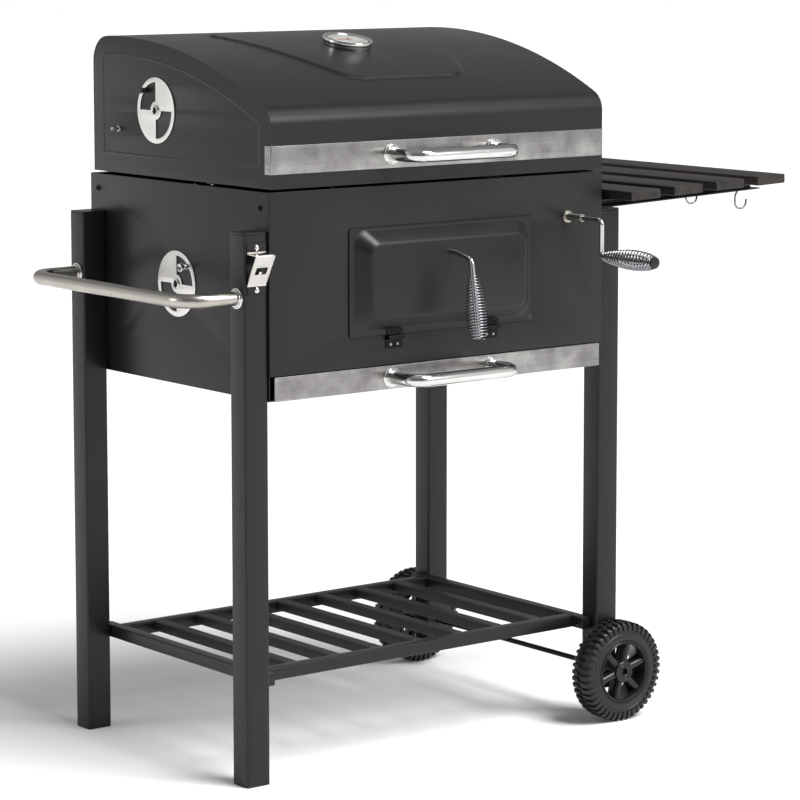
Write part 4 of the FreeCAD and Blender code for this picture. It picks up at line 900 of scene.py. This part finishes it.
def involute_pinion(x, z, y0, y1):
    """The twelve-tooth pinion on the crank's inner end, its flanks drawn as involutes."""
    teeth, module, pressure, slack = 12, 1.5, math.radians(25), 0.35
    pitch = module * teeth / 2
    base, tip, root = pitch * math.cos(pressure), pitch + module * 0.95, pitch - module * 1.3
    half = (math.pi * module / 2 - slack) / 2 / pitch + math.tan(pressure) - pressure
    outline = []
    for tooth in range(teeth):
        middle = math.pi - 2 * math.pi * tooth / teeth
        flank = []
        for k in range(5):
            r = base + (tip - base) * k / 4
            roll = math.tan(math.acos(base / r)) - math.acos(base / r)
            flank.append((r, half - roll))
        side = [(root, half)] + flank
        outline += [(r, middle + a) for r, a in side] + [(r, middle - a) for r, a in reversed(side)]
    rings = [[(x + r * math.cos(a), y, z + r * math.sin(a)) for r, a in outline] for y in (y0, y1)]
    return loft(rings)


# ---------------------------------------------------------------- lid

def lid_outline(low, high, inset, gap):
    """The lid's side outline as (y, z) points from its front foot over the top to its back foot."""
    crest = low.y + 381.0
    arc_radius, knee, heel = 830.0, 30.0, 38.0
    centre = (crest, high.z - arc_radius)

    def inner_centre(y, radius):
        return y, centre[1] + math.sqrt((arc_radius - radius) ** 2 - (y - crest) ** 2)

    knee_at, heel_at = inner_centre(low.y + knee, knee), inner_centre(high.y - heel, heel)
    a_knee = math.degrees(math.atan2(knee_at[1] - centre[1], knee_at[0] - centre[0]))
    a_heel = math.degrees(math.atan2(heel_at[1] - centre[1], heel_at[0] - centre[0]))
    roof_steps = round(math.radians(a_knee - a_heel) * arc_radius / gap)
    bends = arc(knee_at, knee - inset, 180, a_knee, 14)
    bends += arc(centre, arc_radius - inset, a_knee, a_heel, roof_steps)[1:]
    bends += arc(heel_at, heel - inset, a_heel, 0, 14)[1:]
    rise, drop = knee_at[1] - low.z, heel_at[1] - low.z
    rise_steps, drop_steps = round(rise / gap), round(drop / gap)
    front = [(low.y + inset, low.z + rise * k / rise_steps) for k in range(rise_steps)]
    back = [(high.y - inset, heel_at[1] - drop * (k + 1) / drop_steps) for k in range(drop_steps)]
    return front + bends + back


def depth_in(x, y, corners):
    """How far a point lies inside a convex outline, negative outside, with corners rounded by 20."""
    soft = 20.0
    best = 1e9
    near = 0.0
    for (ax, ay), (bx, by) in zip(corners, corners[1:] + corners[:1]):
        length = math.hypot(bx - ax, by - ay)
        inside = ((bx - ax) * (y - ay) - (by - ay) * (x - ax)) / length
        best = min(best, inside)
        if inside < soft:
            near += (soft - inside) ** 2
    return min(best, soft - math.sqrt(near)) if near else best


def lid_shell():
    """The rolled lid: one sheet bent over the front knee and the rear heel, with a panel pressed up out
    of its top. Both skins are grids of points that follow the same rule."""
    low, high = span("lid_shell")
    middle = (low.x + high.x) / 2
    pressing = [(-100, 74), (100, 74), (142, 144), (162, 206), (181, 290), (181, 330),
                (-181, 330), (-181, 290), (-162, 206), (-142, 144)]
    lift, slope, step = 2.8, 3.1, 3.1
    outside = lid_outline(low, high, 0.0, step)
    inside = lid_outline(low, high, SHEET, step)
    columns = round((high.x - low.x) / step)
    above_knee = 940.0
    work = bmesh.new()
    skins = []
    for outline in (outside, inside):
        rows = []
        for i, (y, z) in enumerate(outline):
            before, after = outline[max(i - 1, 0)], outline[min(i + 1, len(outline) - 1)]
            run = math.hypot(after[0] - before[0], after[1] - before[1])
            normal = (-(after[1] - before[1]) / run, (after[0] - before[0]) / run)
            row = []
            for k in range(columns + 1):
                x = low.x + (high.x - low.x) * k / columns
                raised = 0.0
                if z > above_knee:
                    t = min(max(depth_in(x - middle, y, pressing) / slope, 0.0), 1.0)
                    raised = lift * t * t * (3 - 2 * t)
                row.append(work.verts.new((x, y + normal[0] * raised, z + normal[1] * raised)))
            rows.append(row)
        skins.append(rows)
    for rows in skins:
        for a, b in zip(rows, rows[1:]):
            for k in range(columns):
                work.faces.new((a[k], a[k + 1], b[k + 1], b[k]))
    outer, inner = skins
    for k in (0, columns):
        for i in range(len(outside) - 1):
            work.faces.new((outer[i][k], outer[i + 1][k], inner[i + 1][k], inner[i][k]))
    for i in (0, len(outside) - 1):
        for k in range(columns):
            work.faces.new((outer[i][k], outer[i][k + 1], inner[i][k + 1], inner[i][k]))
    piece("lid_top_sheet", to_mesh(work), COAT, "lid", ["lid_shell"], sharp=40)


def lid_sides():
    """Flat side panels inside the lid's ends, each with vent holes and a raised border."""
    low, high = span("lid_shell")
    bead_section = [(-3.2, -0.3), (-1.6, 0.2), (0, 0.4), (1.6, 0.2), (3.2, -0.3)]
    for side, x, way in (("left", low.x, LEFT), ("right", high.x - SHEET, RIGHT)):
        hub = pivot("lid_vent_%s_turn" % side)
        outline = lid_outline(low, high, SHEET, 12.0)
        sheet = panel(outline, vent_slots((hub.y, hub.z), 90), SHEET, 0.3, across_x(x, SHEET))
        face = low.x if side == "left" else high.x
        foot = low.z + 28
        upper = [(y, z) for y, z in lid_outline(low, high, 26.0, 12.0) if z > foot]
        line = [(upper[0][0], foot)] + upper + [(upper[-1][0], foot)]
        bead = sweep([Vector((face, y, z)) for y, z in line], bead_section, up=way, closed=True)
        piece("lid_%s_panel" % side, merged([sheet, bead]), COAT, "lid",
              ["lid_side_" + side], sharp=50)


def lid_fittings():
    """The bright strip that wraps the lid's front foot, its rivets, the handle and the side stud."""
    low, high = span("lid_strip")
    thick = 0.8
    half = thick / 2
    left_x, right_x = low.x + half, high.x - half
    path = rounded_path([(left_x, high.y, 0), (left_x, low.y + half, 0), (right_x, low.y + half, 0),
                         (right_x, high.y, 0)], [1.6, 1.6], turn=15)
    middle = (low.z + high.z) / 2
    tall = (high.z - low.z) / 2
    section = rounded_rectangle(-half, half, -tall, tall, half * 0.9, 3)
    strip = sweep([p + UP * middle for p in path], section, up=UP)
    piece("lid_front_strip", strip, BRUSHED, "lid", ["lid_strip"])
    spots = [((x, high.y - 7, z), way) for x, way in ((low.x, LEFT), (high.x, RIGHT))
             for z in (low.z + 11, high.z - 11)]
    fasteners("lid_strip_rivets", spots, 2.2, 0.9, ZINC, "lid", socket=False)
    bar_handle("lid_handle", "lid")
    stud_at = (2.0, 374.0, 890.0)
    stud = [(0, 0), (5.0, 0), (5.0, 1.6), (4.4, 2.6), (2.8, 3.0), (2.8, 12), (2.3, 13.2), (0, 13.6)]
    piece("lid_stop_stud", lathe(stud, stud_at, LEFT, 24), ZINC, "lid")


def thermometer():
    """A lid thermometer: polished case with a rolled bezel, stem and nut, dial with ticks, and glass."""
    way = -Vector(JOINTS["thermometer_needle_turn"]["axis"]).normalized()
    seat = pivot("thermometer_needle_turn")
    case = [(0, 0.4), (33.0, 0.4), (34.6, 1.4), (35.2, 3.0), (35.4, 8.4), (36.4, 9.4), (37.0, 10.8),
            (36.9, 13.4), (36.0, 14.8), (34.6, 15.2), (33.4, 15.0), (29.6, 12.6), (29.3, 12.2), (0, 12.0)]
    stem = [(0, -52), (2.2, -52), (2.5, -50), (2.5, -18), (4.4, -17), (4.4, 0.6), (0, 0.6)]
    nut = [(4.6, -2.0), (9.0, -2.0), (9.0, -7.0), (4.6, -7.0)]
    shells = [lathe(case, seat, way, 72), lathe(stem, seat, way, 24), lathe(nut, seat, way, 6, closed=True)]
    piece("thermometer_housing", merged(shells), POLISHED, "lid", ["thermometer_case"])
    dial = lathe([(0, 12.2), (29.2, 12.2), (29.2, 12.4), (0, 12.4)], seat, way, 64)
    piece("thermometer_dial", dial, DIAL, "lid")
    lens = lathe([(0, 14.0), (31.6, 14.0), (31.6, 14.7), (0, 14.7)], seat, way, 64)
    piece("thermometer_glass", lens, GLASS, "lid")
    dial_up = way.cross(RIGHT).normalized()
    tick = bar((-0.35, 23.0, 12.38), (0.35, 28.0, 12.55), "y", 0.05)
    ticks = in_a_ring(tick, 28, (0, 0, 0), UP, PLASTIC, math.radians(280))
    facing = Matrix((RIGHT, dial_up, way)).transposed().to_4x4()
    ticks.transform(Matrix.Translation(seat) @ facing @ Matrix.Rotation(math.radians(-135), 4, "Z"))
    piece("thermometer_ticks", ticks, PLASTIC, "lid")


# ---------------------------------------------------------------- opener, table, hooks and grates

def bottle_opener():
    """A folded bright opener between two painted tabs on the front left leg; a tongue in its slot
    catches the cap."""
    low, high = span("bottle_opener")
    thick = 2.0
    y = high.y - thick / 2
    fold, foot = 743.0, 696.0
    corners = [(0, y, fold), (0, y, 741), (0, low.y + 2.2, 739.6), (0, y - 0.4, 698.5), (0, y, foot)]
    line = rounded_path(corners, [0.9, 1.6, 2.0], turn=20)
    off_leg = y - 3
    slot_foot, tongue, slot_top = 713.0, 717.0, 723.0
    path = []
    for a, b in zip(line, line[1:]):
        path.append(a)
        for z in (slot_top, tongue, slot_foot):
            if b.z < z < a.z and a.y < off_leg:
                path.append(a.lerp(b, (a.z - z) / (a.z - b.z)))
    path.append(line[-1])
    columns = (low.x, low.x + 6, low.x + 13, high.x - 14, high.x - 6, high.x)
    work = bmesh.new()
    grid = [[work.verts.new((x, p.y, p.z)) for x in columns] for p in path]
    for a, b in zip(grid, grid[1:]):
        for k in range(len(columns) - 1):
            middle = (a[k].co.z + b[k].co.z) / 2
            over_tongue = tongue < middle < slot_top and k in (1, 2, 3)
            beside_tongue = slot_foot < middle < tongue and k in (1, 3)
            if a[k].co.y > off_leg or not (over_tongue or beside_tongue):
                work.faces.new((a[k], a[k + 1], b[k + 1], b[k]))
    plate = bpy.data.meshes.new("plate")
    work.to_mesh(plate)
    work.free()
    holder = bpy.data.objects.new("plate", plate)
    scene.collection.objects.link(holder)
    thicken = holder.modifiers.new("thicken", "SOLIDIFY")
    thicken.thickness, thicken.offset = thick, 0
    soften = holder.modifiers.new("soften", "BEVEL")
    soften.width, soften.segments, soften.limit_method = 0.35, 2, "ANGLE"
    made = bpy.data.meshes.new_from_object(holder.evaluated_get(bpy.context.evaluated_depsgraph_get()))
    bpy.data.objects.remove(holder)
    piece("bottle_opener_plate", made, OPENER_STEEL, "cart", ["bottle_opener"])
    tabs = [bar((low.x, high.y - thick, z0), (high.x, high.y, z1), "z", 0.8)
            for z0, z1 in ((low.z, foot), (fold, high.z))]
    piece("bottle_opener_tabs", merged(tabs), COAT, "cart")


def table():
    """Wood slats with eased edges across two steel channels, rising a little towards the hooks."""
    low, high = span("table_slats")
    count, wide, thick, slope = 4, 57.0, 13.5, 0.0366
    x0, x1, underside = 624.0, 937.0, 778.3
    tipped = turned_about(Vector((600, 0, 766.3)), -math.atan(slope))
    slat = bar((x0, low.y, underside), (x0 + wide, high.y, underside + thick), "y", 1.6)
    step = (x1 - x0 - wide) / (count - 1)
    slats = in_a_row(slat, count, (step, 0, 0), WOOD)
    slats.transform(tipped)
    piece("table_boards", slats, WOOD, "cart", ["table_slats"])
    rail_drop = 10.2
    heads = [(tipped @ Vector((x0 + wide / 2 + i * step, y, underside - rail_drop)), -UP)
             for i in range(count) for y in (20.0, 429.0)]
    fasteners("table_screws", heads, 3.6, 1.6, ZINC, "cart")


def hooks():
    """Bent wire hooks on the rail under the table's end: an eye round the rail, a shank and a hook."""
    eye = 4.95
    outline = [(-eye, -4), (-eye, eye), (eye, eye), (eye, -7), (0, -15), (0, -35), (21, -35), (24, -21)]
    for node in ("hook_front", "hook_rear"):
        hinge = pivot(node + "_swing")
        corners = [hinge + RIGHT * x + UP * z for x, z in outline]
        path = rounded_path(corners, [4.9, 4.9, 6, 6, 10, 10], turn=9)
        piece(node + "_wire", sweep(path, circle(1.5, 14)), SHADE_DARKENED_WIRE_STEEL, node, [node])


def cooking_grates():
    """Two chromed grates of round bars in a frame."""
    frame_radius, bar_radius, gaps = 3.0, 2.5, 12
    for side in ("left", "right"):
        node = "cooking_grate_" + side
        low, high = span(node)
        z = (low.z + high.z) / 2
        y0, y1 = low.y + frame_radius, high.y - frame_radius
        x0, x1 = low.x + frame_radius, high.x - frame_radius
        rim = [round_bar((low.x, y, z), (high.x, y, z), frame_radius, 12) for y in (y0, y1)]
        rim += [round_bar((x, y0, z), (x, y1, z), frame_radius, 12) for x in (x0, x1)]
        step = (x1 - x0) / gaps
        rod = round_bar((x0 + step, y0, z), (x0 + step, y1, z), bar_radius, 10)
        rods = in_a_row(rod, gaps - 1, (step, 0, 0), CHROME)
        piece(node + "_bars", merged(rim + [rods]), CHROME, "grate_" + side, [node])


def plain_nodes():
    """Gives the CAD pieces that already have their real shape a real finish."""
    finishes = {COAT: ("drawer_rails", "grate_ledges", "lift_guides", "table_brackets"),
                BLACK_ZINC: ("hinge_plates", "hinge_pins", "lid_hinge_leaves", "door_hinge_leaves",
                             "door_latch"),
                ENAMEL: ("charcoal_tray", "lift_rack"),
                RED_PAINT: ("thermometer_needle",)}
    for material, names in finishes.items():
        for name in names:
            for slot in frame["nodes"][name].material_slots:
                slot.material = material


# ---------------------------------------------------------------- stage and camera

def studio_world():
    """White to look at. It lights the object like a dim studio with white walls at the front right and
    the left rear."""
    world = bpy.data.worlds.new("studio")
    world.use_nodes = True
    tree = world.node_tree
    tree.nodes.clear()
    way = add(tree, "ShaderNodeTexCoord").outputs["Generated"]
    level = 0.16
    front_right, left_rear, right_rear = (0.6, -0.8, 0.0), (-0.8, 0.6, 0.0), (0.6, 0.8, 0.1)
    for towards, gain in ((front_right, 0.7), (left_rear, 0.6), (right_rear, 0.2), (UP, 0.15)):
        facing = add(tree, "ShaderNodeVectorMath", {0: way, 1: towards}, operation="DOT_PRODUCT")
        lobe = add(tree, "ShaderNodeMapRange",
                   {0: facing.outputs["Value"], 1: 0.5, 2: 0.95, 3: 0.0, 4: gain},
                   interpolation_type="SMOOTHSTEP")
        total = add(tree, "ShaderNodeMath", {0: lobe.outputs[0], 1: level}, operation="ADD")
        level = total.outputs[0]
    seen = add(tree, "ShaderNodeLightPath").outputs["Is Camera Ray"]
    shown = add(tree, "ShaderNodeMath", {0: level, 1: seen}, operation="MAXIMUM")
    sky = add(tree, "ShaderNodeBackground", {"Color": (1, 1, 1, 1), "Strength": shown.outputs[0]})
    add(tree, "ShaderNodeOutputWorld", {"Surface": sky.outputs[0]})
    scene.world = world


def light(name, kind, at, target, energy, size):
    """A soft lamp that looks from one place at another; size is metres, or radians for a sun."""
    data = bpy.data.lights.new(name, kind)
    data.energy = energy
    if kind == "SUN":
        data.angle = size
    else:
        data.size = size
    lamp = bpy.data.objects.new(name, data)
    lamp.location = at
    lamp.rotation_euler = (Vector(target) - Vector(at)).to_track_quat("-Z", "Y").to_euler()
    scene.collection.objects.link(lamp)


def stage():
    """A pale floor, soft studio lights and the camera."""
    floor_mesh = bpy.data.meshes.new("floor")
    size = 30.0
    corners = [(-size, -size, 0), (size, -size, 0), (size, size, 0), (-size, size, 0)]
    floor_mesh.from_pydata(corners, [], [(0, 1, 2, 3)])
    floor_mesh.materials.append(started("painted studio floor", "#f4f4f4", 0.0, 0.9)[0])
    floor = bpy.data.objects.new("floor", floor_mesh)
    scene.collection.objects.link(floor)
    studio_world()
    light("key", "AREA", (1.3, -3.0, 2.7), (0.0, 0.0, 0.6), 55.0, 1.6)
    light("side", "AREA", (-3.2, 1.2, 1.6), (0.0, 0.0, 0.5), 14.0, 0.9)
    light("overhead", "SUN", (0.0, 0.0, 0.0), (-0.25, 0.55, -1.0), 3.4, math.radians(30))
    lens = bpy.data.cameras.new("camera")
    lens.lens, lens.sensor_width = 142.47, 36.0
    lens.shift_y, lens.clip_end = -0.125, 100.0
    camera = bpy.data.objects.new("camera", lens)
    yaw, dip, roll = 0.6603, 0.1200, -0.0006
    camera.location = TO_FRAME @ Vector((-2478.92, -3481.09, 1190.93))
    ahead = Vector((math.sin(yaw) * math.cos(dip), math.cos(yaw) * math.cos(dip), -math.sin(dip)))
    camera.rotation_mode = "QUATERNION"
    level_view = ahead.to_track_quat("-Z", "Y")
    camera.rotation_quaternion = level_view @ Matrix.Rotation(roll, 3, "Z").to_quaternion()
    scene.collection.objects.link(camera)
    scene.camera = camera
    scene.view_settings.view_transform = "Standard"



stage()
legs()
shelf()
wheel("front", BACK)
wheel("rear", FRONT)
axle()
fire_box()
box_screws()
vents()
drawer()
push_handle()
door()
door_handle()
crank()
lid_shell()
lid_sides()
lid_fittings()
thermometer()
bottle_opener()
table()
hooks()
cooking_grates()
plain_nodes()
